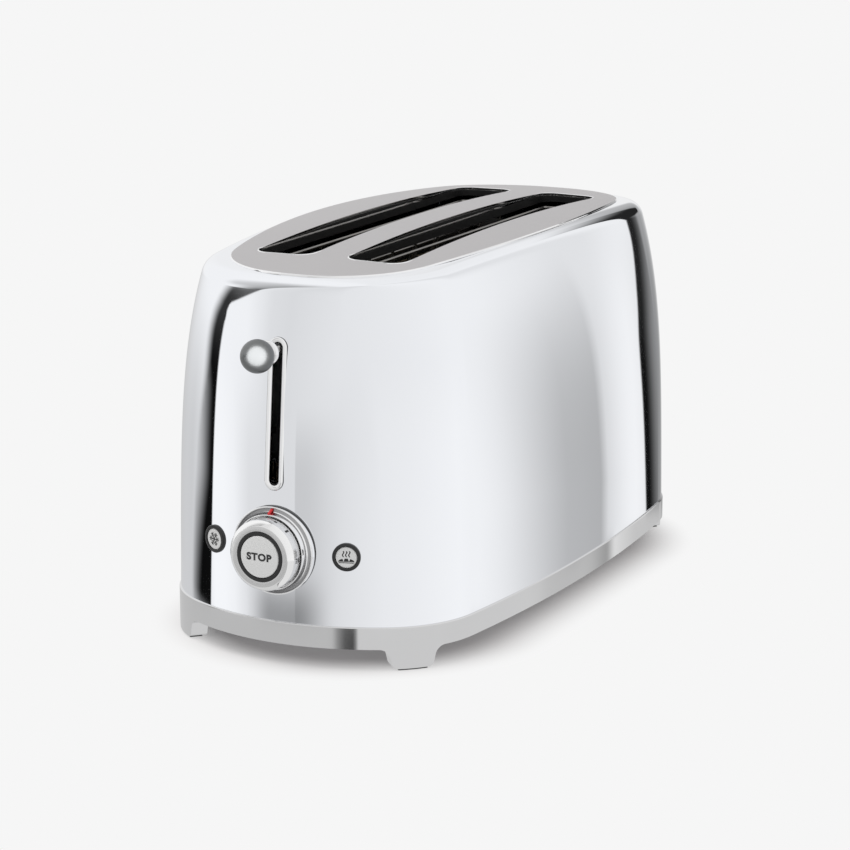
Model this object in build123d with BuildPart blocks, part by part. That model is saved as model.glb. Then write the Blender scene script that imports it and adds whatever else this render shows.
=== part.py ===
from build123d import *
from math import asin, atan2, cos, degrees, hypot, pi, sin, sqrt
import os

os.makedirs("parts", exist_ok=True)

# Driving dimensions, millimetres
# The front is the control end, towards -Y; the long sides face -X and +X
ring_half_width = 96.1
ring_half_length = 189.0
ring_side_radius = 1080.0
ring_end_radius = 119.8
ring_corner_radius = 57.9
ring_bottom = 11.8
ring_top = 24.0
ring_wall = 4.0
ring_ledge = 1.4
ring_ledge_width = 20.0
ring_edge_radius = 0.7

foot_bottom_width = 22.0
foot_top_width = 27.0
foot_thickness = 9.0
foot_toe_radius = 3.0
foot_root_radius = 6.0
foot_bearing = 46.0
pad_thickness = 1.0
pad_margin = 1.2

# Body shell: the walls lean in, then roll over to a crowned top
crown_height = 212.2
crown_radius = 2093.0
crown_centre = (0, 0, crown_height - crown_radius)
shell_wall = 1.0
shell_step = 0.8
shell_lean = 2.9
shell_bulge = 14.0
bulge_power = 3.7
wall_shares = (0.0, 0.35, 0.6, 0.8, 0.92, 1.03)
crown_side_radius = 950.0
crown_end_radius = 165.0
crown_corner_radius = 54.0
roll_radius = 10.0
shell_lip = 8.0

# Top plate and bread slots
plate_half_width = 73.1
plate_half_length = 166.6
plate_side_radius = 547.0
plate_end_radius = 288.0
plate_corner_radius = 55.7
plate_thickness = 1.0
plate_edge_bevel = 0.5
slot_width = 34.4
slot_length = 257.0
slot_middle = 27.7
slot_corner_radius = 9.0
slot_collar_depth = 4.0
slot_collar_wall = 0.8

# Lever
lever_slot_width = 5.3
lever_slot_room_below = 1.6
lever_slot_room_above = 1.0
trim_border = 3.0
trim_proud = 1.4
trim_sleeve_wall = 0.8
lever_rest_height = 169.3
lever_travel = 68.0
ball_diameter = 17.8
ball_reach = 21.5
collar_diameter = 13.0
collar_thickness = 2.2
collar_reach = 10.0
neck_diameter = 7.0
stem_width = 3.8
stem_height = 4.4
lever_slot_top = lever_rest_height + stem_height / 2 + lever_slot_room_above
lever_slot_bottom = lever_rest_height - lever_travel - stem_height / 2 - lever_slot_room_below

# Browning dial and its stop button
dial_height = 62.4
bezel_rim_height = 1.8
bezel_border = 2.4
bezel_cove_width = 1.2
bezel_collar_wall = 0.7
bezel_collar_height = 5.5
bezel_floor = 1.6
neck_radius = 17.0
neck_wall = 1.5
neck_depth = 7.0
knob_radius = 19.2
knob_reach = 15.0
knob_web = 2.0
knob_skin = 2.0
knob_bevel = 2.6
knob_gap = 0.5
bezel_collar_radius = knob_radius + knob_gap + bezel_collar_wall
bezel_cove_radius = bezel_collar_radius + bezel_cove_width
bezel_radius = bezel_cove_radius + bezel_border
hub_radius = 6.5
hub_bore = 4.2
stop_ring_outer = 13.55
stop_ring_inner = 11.6
stop_radius = 11.3
stop_proud = 0.5
stop_travel = 2.0
stop_cap = 4.0
plunger_radius = 4.12
recess_depth = 6.0
bezel_cove_height = 0.9
bezel_rim_width = 0.9
hub_depth = 13.4
knob_back = 4.5
mark_proud = 0.4
mark_width = 2.0

# Small side buttons
button_place = 39.8
button_height = 61.9
button_ring_radius = 7.6
button_ring_proud = 1.3
button_ring_neck = 6.9
button_ring_depth = 4.0
button_proud = 0.9
button_radius = 5.75
button_thickness = 3.2

# Control board and its switches
board_reach = 13.9
board_thickness = 1.6
board_half_width = 47.0
board_bottom = 34.0
board_top = 95.0
bracket_thickness = 1.2
sensor_radius = 12.0
sensor_thickness = 6.0
switch_size = 4.6
switch_thickness = 2.0
switch_radius = 3.5
switch_height = 2.9
bracket_top = 75.0
bracket_margin = 3.0

# Chassis round the toasting room
sheet = 1.0
chassis_reach = 134.0
tray_half_width = 56.0
leg_room = 3.0
leg_width = 7.0
chassis_half_width = tray_half_width + leg_room + leg_width
chassis_bottom = 26.5
chassis_top = 190.0
chassis_corner = 4.0
shield_inset = 3.0
shield_place = chassis_half_width - shield_inset
shield_thickness = 0.8
shield_margin = 4.0
mica_thickness = 1.0
mica_bottom = 38.0
mica_top = 172.0
outer_mica_place = 55.0
ribbon_width = 1.6
ribbon_thickness = 0.4
ribbon_runs = 12
ribbon_margin = 9.0

# Bread guides and racks
wire = 2.0
upright_wire = 1.7
hook_bend = 2.5
guide_inner_place = 12.2
guide_outer_place = 43.2
guide_travel = 6.5
guide_bottom = 40.0
guide_top = 183.0
guide_rail = 201.0
guide_rail_half_length = 123.0
guide_hook = 8.0
guide_wires = 9
guide_wire_pitch = 28.0
rack_bar = 2.0
rack_bar_height = 7.0
rack_rest_top = 110.0
rack_wire_reach = 6.5
rack_wires = 8
rack_end = 3.0

# Carriage, rods, springs and holding magnet
carriage_gap = 10.0
carriage_thickness = 1.5
carriage_half_width = 38.0
carriage_below = 70.0
carriage_above = 9.0
ear_depth = 12.0
rod_diameter = 5.0
rod_place = 22.0
rod_forward = 7.0
spring_place = 32.5
spring_diameter = 7.0
spring_wire = 0.9
spring_turns = 12
magnet_half_width = 13.0
magnet_depth = 10.0
magnet_yoke = 5.0
magnet_leg = 5.0
magnet_height = 23.0
coil_wall = 2.4
armature_thickness = 3.0
armature_gap = 0.5
bracket_height = 14.0
magnet_clearance = 2.0
coil_over = 2.0
ear_thickness = 2.0
ear_margin = 5.5
rod_end = 1.0
tab_thickness = 1.5
tab_half_width = 38.0

# Bottom cover, crumb tray, cord gland and cleats
cover_thickness = 0.9
cover_margin = 10.0
tray_front = 118.0
tray_height = 7.5
tray_groove_half = 25.0
tray_groove_depth = 1.5
tray_groove_height = 4.0
tray_sheet = 0.6
tray_front_overhang = 1.6
tray_front_wall = 4.0
tray_front_half_width = tray_half_width + tray_front_overhang
tray_front_gap = 0.3
window_head = 1.6
gland_x = -46.0
gland_y = -141.0
gland_bore = 3.7
gland_hole = 6.5
gland_flange = 9.0
gland_flange_thickness = 2.0
gland_length = 8.0
terminal_x = 34.0
terminal_length = 24.0
terminal_width = 14.0
terminal_height = 12.0
terminal_hole = 1.8
vent_place = 40.0
vent_pitch = 9.0
vent_count = 13
vent_length = 30.0
vent_width = 3.0
cleat_place = 84.0
cleat_half_length = 16.0
cleat_height = 8.5
cleat_lip = 2.5
cleat_neck = 0.6
screw_shank = 3.0
screw_head = 6.4
screw_head_height = 1.6
screw_depth = 9.0
screw_inset = 15.0
screw_places = (34.0, 112.0)
boss_radius = 4.0
boss_height = 9.5

# Clearances
running_gap = 0.05
loose_gap = 0.3
hole_gap = 0.3


class Oval:
    """A closed outline of eight arcs: two long sides, two ends and four corners."""

    def __init__(self, half_width, half_length, side, end, corner):
        self.half_width = half_width
        self.half_length = half_length
        self.side = side
        self.end = end
        self.corner = corner

    def inset(self, distance):
        """The parallel outline that lies inside this one."""
        radii = [radius - distance for radius in (self.side, self.end, self.corner)]
        return Oval(self.half_width - distance, self.half_length - distance, *radii)

    def corner_centre(self):
        side_x = self.half_width - self.side
        end_y = self.half_length - self.end
        span = hypot(side_x, end_y)
        to_side = self.side - self.corner
        to_end = self.end - self.corner
        along = (to_side**2 - to_end**2 + span**2) / (2 * span)
        across = sqrt(to_side**2 - along**2)
        return (
            side_x - (along * side_x + across * end_y) / span,
            (along * end_y - across * side_x) / span,
        )

    def arcs(self):
        """Centre, radius, first and last angle of the three arcs from +X round to +Y."""
        x, y = self.corner_centre()
        leave_side = atan2(y, x - self.half_width + self.side)
        reach_end = atan2(y - self.half_length + self.end, x)
        return [
            (self.half_width - self.side, 0, self.side, 0, leave_side),
            (x, y, self.corner, leave_side, reach_end),
            (0, self.half_length - self.end, self.end, reach_end, pi / 2),
        ]

    def face(self):
        side, corner, end = self.arcs()
        at = lambda arc, angle: (arc[0] + arc[2] * cos(angle), arc[1] + arc[2] * sin(angle))
        joint_side = at(corner, corner[3])
        middle = at(corner, (corner[3] + corner[4]) / 2)
        joint_end = at(corner, corner[4])
        turn = lambda point, sx, sy: (point[0] * sx, point[1] * sy)
        with BuildSketch() as outline:
            with BuildLine():
                for s in (-1, 1):
                    ThreePointArc(turn(joint_side, s, -1), (s * self.half_width, 0), turn(joint_side, s, 1))
                    ThreePointArc(turn(joint_end, -1, s), (0, s * self.half_length), turn(joint_end, 1, s))
                    for t in (-1, 1):
                        ThreePointArc(turn(joint_side, s, t), turn(middle, s, t), turn(joint_end, s, t))
            make_face()
        return outline.sketch


def mix(first, second, share):
    return first + (second - first) * share


def crown(x, y, height=crown_height):
    """Height of the crowned top above a point."""
    return height - crown_radius + sqrt(crown_radius**2 - x**2 - y**2)


ring_oval = Oval(ring_half_width, ring_half_length, ring_side_radius, ring_end_radius, ring_corner_radius)
plate_oval = Oval(
    plate_half_width, plate_half_length, plate_side_radius, plate_end_radius, plate_corner_radius
)


def wall_section(share, grow=0.0):
    """Outline of the body's wall at a share of the way from the ring up to the crown."""
    inset = shell_step + shell_lean * share + shell_bulge * share**bulge_power - grow
    change = share**bulge_power
    return Oval(
        ring_half_width - inset,
        ring_half_length - inset,
        mix(ring_side_radius, crown_side_radius, change) + grow,
        mix(ring_end_radius, crown_end_radius, change) + grow,
        mix(ring_corner_radius, crown_corner_radius, change) + grow,
    )


def body_form(grow):
    """The solid that the body skin wraps, swelled by grow: leaning walls, crowned top, big soft roll."""
    with BuildPart() as form:
        for share in wall_shares:
            with BuildSketch(Plane.XY.offset(mix(ring_top, crown_height, share))):
                add(wall_section(share, grow).face())
        loft()
        with Locations(crown_centre):
            Sphere(crown_radius + grow, mode=Mode.INTERSECT)
        fillet(faces().sort_by(Axis.Z)[-1].edges(), roll_radius + grow)
    return form.part


def front_face(x, z):
    """How far in front of the middle the body's control end lies, at a place on it."""
    oval = wall_section((z - ring_top) / (crown_height - ring_top))
    return oval.half_length - oval.end + sqrt(oval.end**2 - x**2)


def bearing(x, z):
    """Turn of the control end's surface away from straight forward, in degrees."""
    return degrees(asin(x / wall_section((z - ring_top) / (crown_height - ring_top)).end))


def facing(x, z):
    """A plane on the control end, its normal pointing out of the body."""
    swing = bearing(x, z)
    return Plane(origin=(x, -front_face(x, z), z), x_dir=(cos(swing * pi / 180), sin(swing * pi / 180), 0),
                 z_dir=(sin(swing * pi / 180), -cos(swing * pi / 180), 0))


def spun(plane, outline):
    """A solid turned about a plane's normal, from points given as radius and height."""
    side = Plane(origin=plane.origin, x_dir=plane.x_dir, z_dir=-plane.y_dir)
    with BuildPart() as turned:
        with BuildSketch(side):
            with BuildLine():
                Polyline(outline, close=True)
            make_face()
        revolve(axis=Axis(plane.origin, plane.z_dir))
    return turned.part


body_solid = body_form(0)
body_hollow = body_form(-shell_wall)
body_proud = body_form(trim_proud)


def side_spot(y, inset):
    """A place on the long side, a given way in from the ring's outer face."""
    return ring_half_width - ring_side_radius + sqrt(ring_side_radius**2 - y**2) - inset


cover_top = ring_bottom
tray_half_length = ring_half_length - tray_front_wall
screw_spots = [
    (sx * side_spot(y, screw_inset), sy * y)
    for sx in (-1, 1)
    for sy in (-1, 1)
    for y in screw_places
]
sides = (("left", -1), ("right", 1))

# Base ring: a band with a ledge inside, bosses for the screws and the window for the crumb tray
ledge_top = ring_bottom + ring_ledge
window_top = ring_top - window_head
window_half_width = tray_front_half_width + tray_front_gap
with BuildPart() as foot:
    away = Vector(cos(foot_bearing * pi / 180), sin(foot_bearing * pi / 180), 0)
    corner_x, corner_y = ring_oval.corner_centre()
    foot_middle = Vector(corner_x, corner_y, 0) + away * ring_corner_radius
    with BuildSketch(Plane(origin=foot_middle, x_dir=(-away.Y, away.X, 0), z_dir=away)):
        with BuildLine():
            Polyline(
                (-foot_top_width, ledge_top), (-foot_top_width, ring_bottom),
                (-foot_top_width / 2, ring_bottom), (-foot_bottom_width / 2, pad_thickness),
                (foot_bottom_width / 2, pad_thickness), (foot_top_width / 2, ring_bottom),
                (foot_top_width, ring_bottom), (foot_top_width, ledge_top),
                close=True,
            )
        make_face()
        fillet(vertices().group_by(Axis.Y)[0], foot_toe_radius)
        is_root = lambda point: abs(abs(point.X) - foot_top_width / 2) < foot_toe_radius / 10
        roots = [point for point in vertices() if is_root(point)]
        fillet(roots, foot_root_radius)
    extrude(amount=2 * foot_top_width, both=True)
    with BuildSketch(Plane.XY):
        add(ring_oval.face())
        add(ring_oval.inset(foot_thickness).face(), mode=Mode.SUBTRACT)
    extrude(amount=ring_top, mode=Mode.INTERSECT)

with BuildPart() as base_ring:
    with BuildSketch(Plane.XY.offset(ring_bottom)):
        add(ring_oval.face())
        add(ring_oval.inset(ring_ledge_width).face(), mode=Mode.SUBTRACT)
    extrude(amount=ring_ledge)
    with BuildSketch(Plane.XY.offset(ledge_top)):
        add(ring_oval.face())
        add(ring_oval.inset(ring_wall).face(), mode=Mode.SUBTRACT)
    extrude(amount=ring_top - ledge_top)
    fillet(faces().sort_by(Axis.Z)[-1].outer_wire().edges(), ring_edge_radius)
    with BuildSketch(Plane.XY.offset(ledge_top)):
        with Locations(*screw_spots):
            Circle(boss_radius)
    extrude(amount=boss_height)
    with BuildSketch(Plane.XY.offset(ring_bottom)):
        with Locations(*screw_spots):
            Circle(screw_shank / 2 + running_gap)
    extrude(amount=ring_ledge + screw_depth, mode=Mode.SUBTRACT)
    with BuildSketch(Plane.XY.offset(ledge_top)):
        with Locations((0, ring_half_length)):
            Rectangle(2 * window_half_width, ring_half_length)
    extrude(amount=window_top - ledge_top, mode=Mode.SUBTRACT)
    for mirrored in (False, True):
        for turned in (False, True):
            piece = foot.part
            piece = piece.mirror(Plane.YZ) if mirrored else piece
            piece = piece.mirror(Plane.XZ) if turned else piece
            add(piece)
base_ring.part.label = "base_ring"
export_step(base_ring.part, "parts/base_ring.step")

# Foot pads: four thin soft pads under the feet
with BuildPart() as foot_pads:
    with BuildSketch(Plane.XY):
        add(ring_oval.inset(pad_margin).face())
        add(ring_oval.inset(foot_thickness - pad_margin).face(), mode=Mode.SUBTRACT)
    extrude(amount=pad_thickness)
    with BuildSketch(Plane.XY):
        for sx in (-1, 1):
            for sy in (-1, 1):
                swing = sx * sy * (foot_bearing - 90)
                with Locations(Location((sx * foot_middle.X, sy * foot_middle.Y), swing)):
                    Rectangle(foot_bottom_width - 2 * foot_toe_radius, 2 * foot_thickness)
    extrude(amount=pad_thickness, mode=Mode.INTERSECT)
foot_pads.part.label = "foot_pads"
export_step(foot_pads.part, "parts/foot_pads.step")

# Bottom cover: a flat sheet screwed under the ring's ledge, with air slots
with BuildPart() as bottom_cover:
    with BuildSketch(Plane.XY.offset(cover_top - cover_thickness)):
        add(ring_oval.inset(cover_margin).face())
        with Locations(*screw_spots):
            Circle(screw_shank / 2 + running_gap, mode=Mode.SUBTRACT)
        with Locations((gland_x, gland_y)):
            Circle(gland_hole + running_gap, mode=Mode.SUBTRACT)
        with GridLocations(2 * vent_place, vent_pitch, 2, vent_count):
            SlotOverall(vent_length, vent_width, mode=Mode.SUBTRACT)
    extrude(amount=cover_thickness)
bottom_cover.part.label = "bottom_cover"
export_step(bottom_cover.part, "parts/bottom_cover.step")

# Screws that hold the bottom cover
with BuildPart() as cover_screws:
    with BuildSketch(Plane.XY.offset(cover_top - cover_thickness - screw_head_height)):
        with Locations(*screw_spots):
            Circle(screw_head / 2)
    extrude(amount=screw_head_height)
    with BuildSketch(Plane.XY.offset(cover_top - cover_thickness)):
        with Locations(*screw_spots):
            Circle(screw_shank / 2)
    extrude(amount=cover_thickness + ring_ledge + screw_depth - 1)
cover_screws.part.label = "cover_screws"
export_step(cover_screws.part, "parts/cover_screws.step")

# Cord cleats: two posts with wide heads under the cover, to wind the cord on
with BuildPart() as cord_cleats:
    cleat_top = cover_top - cover_thickness
    for height, share in ((0, 1.0), (cleat_lip, cleat_neck)):
        with BuildSketch(Plane.XY.offset(cleat_top - cleat_height + height)):
            with Locations((0, -cleat_place), (0, cleat_place)):
                SlotOverall(2 * cleat_half_length * share, 4 * cleat_lip * share)
        extrude(amount=cleat_lip if height == 0 else cleat_height - height)
cord_cleats.part.label = "cord_cleats"
export_step(cord_cleats.part, "parts/cord_cleats.step")

# Cord gland: a bush with a flange in the bottom cover
with BuildPart() as cord_gland:
    with BuildSketch(Plane.XY.offset(cover_top - cover_thickness - gland_flange_thickness)):
        with Locations((gland_x, gland_y)):
            Circle(gland_flange)
    extrude(amount=gland_flange_thickness)
    with BuildSketch(Plane.XY.offset(cover_top - cover_thickness)):
        with Locations((gland_x, gland_y)):
            Circle(gland_hole)
    extrude(amount=gland_length)
    with Locations((gland_x, gland_y, cover_top)):
        Hole(gland_bore)
cord_gland.part.label = "cord_gland"
export_step(cord_gland.part, "parts/cord_gland.step")

# Terminal block for the cord's wires
with BuildPart() as terminal_block:
    with BuildSketch(Plane.XY.offset(cover_top)):
        with Locations((terminal_x, gland_y)):
            Rectangle(terminal_length, terminal_width)
    extrude(amount=terminal_height)
    with BuildSketch(Plane.XY.offset(cover_top + terminal_height)):
        with Locations((terminal_x, gland_y)):
            with GridLocations(terminal_length / 3, 0, 3, 1):
                Circle(terminal_hole)
    extrude(amount=-terminal_height / 2, mode=Mode.SUBTRACT)
terminal_block.part.label = "terminal_block"
export_step(terminal_block.part, "parts/terminal_block.step")

# Body shell: one thin skin, open below, with an opening under the top plate and holes for the controls
lever_slot_middle = (lever_slot_bottom + lever_slot_top) / 2
lever_slot_height = lever_slot_top - lever_slot_bottom
sleeve_growth = 2 * trim_sleeve_wall
far_out = ring_half_length + ring_half_width
control_planes = {name: facing(sx * button_place, button_height) for name, sx in sides}
with BuildPart() as body_shell:
    add(body_solid)
    add(body_hollow, mode=Mode.SUBTRACT)
    with BuildSketch(Plane.XY.offset(chassis_top)):
        add(plate_oval.inset(shell_lip).face())
    extrude(amount=crown_height, mode=Mode.SUBTRACT)
    with BuildSketch(Plane.XZ.offset(chassis_reach)):
        with Locations((0, lever_slot_middle)):
            SlotOverall(
                lever_slot_height + sleeve_growth + 2 * hole_gap,
                lever_slot_width + sleeve_growth + 2 * hole_gap,
                rotation=90,
            )
        with Locations((0, dial_height)):
            Circle(neck_radius + hole_gap)
    extrude(amount=far_out, mode=Mode.SUBTRACT)
    for plane in control_planes.values():
        with BuildSketch(plane.offset(-3 * button_ring_depth)):
            Circle(button_ring_neck + hole_gap)
        extrude(amount=6 * button_ring_depth, mode=Mode.SUBTRACT)
body_shell.part.label = "body_shell"
export_step(body_shell.part, "parts/body_shell.step")

# Top plate: a crowned sheet with two long slots, each with a collar turned down into the body
slot_end = slot_length / 2
collar_bottom = crown(slot_middle, slot_end) - slot_collar_depth
with BuildPart() as slot_collars:
    with BuildSketch(Plane.XY.offset(collar_bottom)):
        with Locations((-slot_middle, 0), (slot_middle, 0)):
            RectangleRounded(
                slot_width + 2 * slot_collar_wall,
                slot_length + 2 * slot_collar_wall,
                slot_corner_radius + slot_collar_wall,
            )
    extrude(amount=2 * slot_collar_depth)
    with Locations(crown_centre):
        Sphere(crown_radius + plate_thickness / 2, mode=Mode.INTERSECT)
with BuildPart() as top_plate:
    with BuildSketch(Plane.XY.offset(collar_bottom)):
        add(plate_oval.face())
    extrude(amount=crown_height)
    with Locations(crown_centre):
        Sphere(crown_radius + plate_thickness, mode=Mode.INTERSECT)
        Sphere(crown_radius, mode=Mode.SUBTRACT)
    rim = faces().sort_by(Axis.Z)[-1].outer_wire().edges()
    chamfer(rim, plate_edge_bevel)
    add(slot_collars.part)
    with BuildSketch(Plane.XY.offset(collar_bottom - slot_collar_depth)):
        with Locations((-slot_middle, 0), (slot_middle, 0)):
            RectangleRounded(slot_width, slot_length, slot_corner_radius)
    extrude(amount=crown_height, mode=Mode.SUBTRACT)
    add(body_shell.part, mode=Mode.SUBTRACT)
top_plate.part.label = "top_plate"
export_step(top_plate.part, "parts/top_plate.step")

# Lever slot trim: a raised border on the skin, with a sleeve that lines the slot
with BuildPart() as trim_border_prism:
    with BuildSketch(Plane.XZ.offset(chassis_reach)):
        with Locations((0, lever_slot_middle)):
            SlotOverall(lever_slot_height + 2 * trim_border, lever_slot_width + 2 * trim_border, rotation=90)
    extrude(amount=far_out)
    add(body_solid, mode=Mode.SUBTRACT)
    add(body_proud, mode=Mode.INTERSECT)
with BuildPart() as lever_slot_trim:
    with BuildSketch(Plane.XZ.offset(chassis_reach)):
        with Locations((0, lever_slot_middle)):
            SlotOverall(lever_slot_height + sleeve_growth, lever_slot_width + sleeve_growth, rotation=90)
    extrude(amount=far_out)
    add(body_hollow, mode=Mode.SUBTRACT)
    add(body_solid, mode=Mode.INTERSECT)
    add(trim_border_prism.part)
    with BuildSketch(Plane.XZ.offset(chassis_reach)):
        with Locations((0, lever_slot_middle)):
            SlotOverall(lever_slot_height, lever_slot_width, rotation=90)
    extrude(amount=far_out, mode=Mode.SUBTRACT)
lever_slot_trim.part.label = "lever_slot_trim"
export_step(lever_slot_trim.part, "parts/lever_slot_trim.step")

# Lever: a stem from the carriage, a flared collar and a round ball
carriage_back = chassis_reach + sheet + carriage_gap
carriage_front = carriage_back + carriage_thickness
lever_face = front_face(0, lever_rest_height)
ball_y = lever_face + ball_reach
ball_radius = ball_diameter / 2
stem_tip = ball_y + ball_radius / 2
with BuildPart() as lever_stem:
    with BuildSketch(Plane.XZ.offset(carriage_front)):
        with Locations((0, lever_rest_height)):
            RectangleRounded(stem_width, stem_height, stem_width / 4)
    extrude(amount=stem_tip - carriage_front)
lever_stem.part.label = "lever_stem"
export_step(lever_stem.part, "parts/lever_stem.step")

with BuildPart() as lever_ball:
    with Locations((0, -ball_y, lever_rest_height)):
        Sphere(ball_radius)
    add(lever_stem.part, mode=Mode.SUBTRACT)
lever_ball.part.label = "lever_ball"
export_step(lever_ball.part, "parts/lever_ball.step")

with BuildPart() as lever_collar:
    with BuildSketch(Plane.XZ.offset(lever_face + collar_reach - collar_thickness)):
        with Locations((0, lever_rest_height)):
            Circle(collar_diameter / 2)
    extrude(amount=collar_thickness)
    fillet(edges(), collar_thickness / 3)
    with BuildSketch(Plane.XZ.offset(lever_face + collar_reach)):
        with Locations((0, lever_rest_height)):
            Circle(neck_diameter / 2)
    extrude(amount=ball_y - lever_face - collar_reach)
    with Locations((0, -ball_y, lever_rest_height)):
        Sphere(ball_radius, mode=Mode.SUBTRACT)
    add(lever_stem.part, mode=Mode.SUBTRACT)
lever_collar.part.label = "lever_collar"
export_step(lever_collar.part, "parts/lever_collar.step")

# Chassis plates: front and rear walls of the toasting room, standing on the bottom cover
rack_slot_bottom = rack_rest_top - rack_bar_height - lever_travel - wire
rack_slot_height = rack_rest_top + wire - rack_slot_bottom
rail_hole = wire + 2 * loose_gap
guide_places = (("inner", guide_inner_place, 1), ("outer", guide_outer_place, -1))
rod_y = carriage_front + rod_forward
tab_depth = rod_y + ear_depth / 2 - chassis_reach


def chassis_wall(plane):
    """One chassis plate, with legs astride the crumb tray and slots for the rails and racks."""
    with BuildPart() as wall:
        with BuildSketch(plane):
            with Locations((0, (chassis_bottom + chassis_top) / 2)):
                RectangleRounded(2 * chassis_half_width, chassis_top - chassis_bottom, chassis_corner)
            leg_height = chassis_top - cover_top - 2 * chassis_corner
            for _, sx in sides:
                with Locations((sx * (chassis_half_width - leg_width / 2), cover_top + leg_height / 2)):
                    Rectangle(leg_width, leg_height)
                with Locations((sx * slot_middle, rack_slot_bottom + rack_slot_height / 2)):
                    Rectangle(rack_bar + 2 * loose_gap, rack_slot_height, mode=Mode.SUBTRACT)
                for _, place, inward in guide_places:
                    for height in (guide_bottom, guide_top):
                        with Locations((sx * (place + inward * guide_travel / 2), height)):
                            Rectangle(guide_travel + rail_hole, rail_hole, mode=Mode.SUBTRACT)
        extrude(amount=sheet)
    return wall.part


with BuildPart() as chassis_front:
    add(chassis_wall(Plane.XZ.offset(chassis_reach)))
    with BuildSketch(Plane.XY.offset(chassis_top - chassis_corner - tab_thickness)):
        with Locations((0, -chassis_reach - tab_depth / 2)):
            Rectangle(2 * tab_half_width, tab_depth)
        with Locations((-rod_place, -rod_y), (rod_place, -rod_y)):
            Circle(rod_diameter / 2 + running_gap, mode=Mode.SUBTRACT)
    extrude(amount=tab_thickness)
chassis_front.part.label = "chassis_front"
export_step(chassis_front.part, "parts/chassis_front.step")

with BuildPart() as chassis_rear:
    add(chassis_wall(Plane.XZ.offset(-chassis_reach - sheet)))
chassis_rear.part.label = "chassis_rear"
export_step(chassis_rear.part, "parts/chassis_rear.step")

# Guide rods for the carriage
rod_top = chassis_top - chassis_corner + rod_end
with BuildPart() as guide_rods:
    with BuildSketch(Plane.XY.offset(cover_top)):
        with Locations((-rod_place, -rod_y), (rod_place, -rod_y)):
            Circle(rod_diameter / 2)
    extrude(amount=rod_top - cover_top)
guide_rods.part.label = "guide_rods"
export_step(guide_rods.part, "parts/guide_rods.step")

# Carriage: a plate with ears that run on the two rods
carriage_bottom = lever_rest_height - carriage_below
carriage_top = lever_rest_height + carriage_above
upper_ear = carriage_top - 2 * ear_thickness
lower_ear = carriage_bottom + ear_thickness
with BuildPart() as carriage:
    with BuildSketch(Plane.XZ.offset(carriage_back)):
        with Locations((0, (carriage_bottom + carriage_top) / 2)):
            RectangleRounded(2 * carriage_half_width, carriage_top - carriage_bottom, ear_thickness)
    extrude(amount=carriage_thickness)
    for height, reach in ((upper_ear, rod_place + ear_margin), (lower_ear, carriage_half_width)):
        with BuildSketch(Plane.XY.offset(height)):
            for _, sx in sides:
                inner = magnet_half_width + loose_gap
                with Locations((sx * (inner + reach) / 2, -carriage_front - ear_depth / 2)):
                    Rectangle(reach - inner, ear_depth)
                with Locations((sx * rod_place, -rod_y)):
                    Circle(rod_diameter / 2 + running_gap, mode=Mode.SUBTRACT)
        extrude(amount=ear_thickness)
carriage.part.label = "carriage"
export_step(carriage.part, "parts/carriage.step")

# Return springs: two coils from the lower ears up to the chassis tab
spring_bottom = lower_ear + ear_thickness
spring_top = chassis_top - chassis_corner - tab_thickness
spring_rise = spring_top - spring_bottom - spring_wire
spring_pitch = spring_rise / spring_turns
spring_centre_radius = (spring_diameter - spring_wire) / 2
with BuildPart() as return_springs:
    for _, sx in sides:
        centre = (sx * spring_place, -rod_y, spring_bottom + spring_wire / 2)
        with BuildLine(Plane(origin=centre)):
            coil = Helix(pitch=spring_pitch, height=spring_rise, radius=spring_centre_radius)
        with BuildSketch(Plane(origin=coil @ 0, z_dir=coil % 0)):
            Circle(spring_wire / 2)
        sweep(path=coil, is_frenet=True)
return_springs.part.label = "return_springs"
export_step(return_springs.part, "parts/return_springs.step")

# Bread racks: a bar in each slot with short cross wires that carry the bread
rack_rear = chassis_reach + sheet + rack_end
rack_half_length = chassis_reach - 2 * rack_wire_reach
for name, sx in sides:
    with BuildPart() as bread_rack:
        with BuildSketch(Plane.YZ.offset(sx * slot_middle - rack_bar / 2)):
            with Locations(((rack_rear - carriage_back) / 2, rack_rest_top - wire / 2 - rack_bar_height / 2)):
                Rectangle(rack_rear + carriage_back, rack_bar_height)
        extrude(amount=rack_bar)
        with BuildSketch(Plane.YZ.offset(sx * slot_middle - rack_wire_reach)):
            with Locations((0, rack_rest_top - wire / 2)):
                with GridLocations(2 * rack_half_length / (rack_wires - 1), 0, rack_wires, 1):
                    Circle(wire / 2)
        extrude(amount=2 * rack_wire_reach)
    bread_rack.part.label = f"bread_rack_{name}"
    export_step(bread_rack.part, f"parts/bread_rack_{name}.step")

# Armature: the iron plate on the carriage that the magnet holds down
magnet_bottom = cover_top + bracket_height
magnet_top = magnet_bottom + magnet_height
armature_bottom = magnet_top + armature_gap + lever_travel
magnet_y = carriage_front + loose_gap + magnet_clearance
with BuildPart() as armature:
    with BuildSketch(Plane.XY.offset(armature_bottom)):
        with Locations((0, -(carriage_front + magnet_y + magnet_depth) / 2)):
            Rectangle(2 * magnet_half_width - 2 * loose_gap, magnet_y + magnet_depth - carriage_front)
    extrude(amount=armature_thickness)
armature.part.label = "armature"
export_step(armature.part, "parts/armature.step")

# Holding magnet: an iron core of three legs, a coil on the middle leg, and its bracket
with BuildPart() as magnet_core:
    with BuildSketch(Plane.XZ.offset(magnet_y)):
        with Locations((0, magnet_bottom + magnet_yoke / 2)):
            Rectangle(2 * magnet_half_width, magnet_yoke)
        for leg_x in (magnet_leg / 4 - magnet_half_width, 0, magnet_half_width - magnet_leg / 4):
            with Locations((leg_x, (magnet_bottom + magnet_top) / 2)):
                Rectangle(magnet_leg / 2, magnet_height)
    extrude(amount=magnet_depth)
magnet_core.part.label = "magnet_core"
export_step(magnet_core.part, "parts/magnet_core.step")

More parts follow.
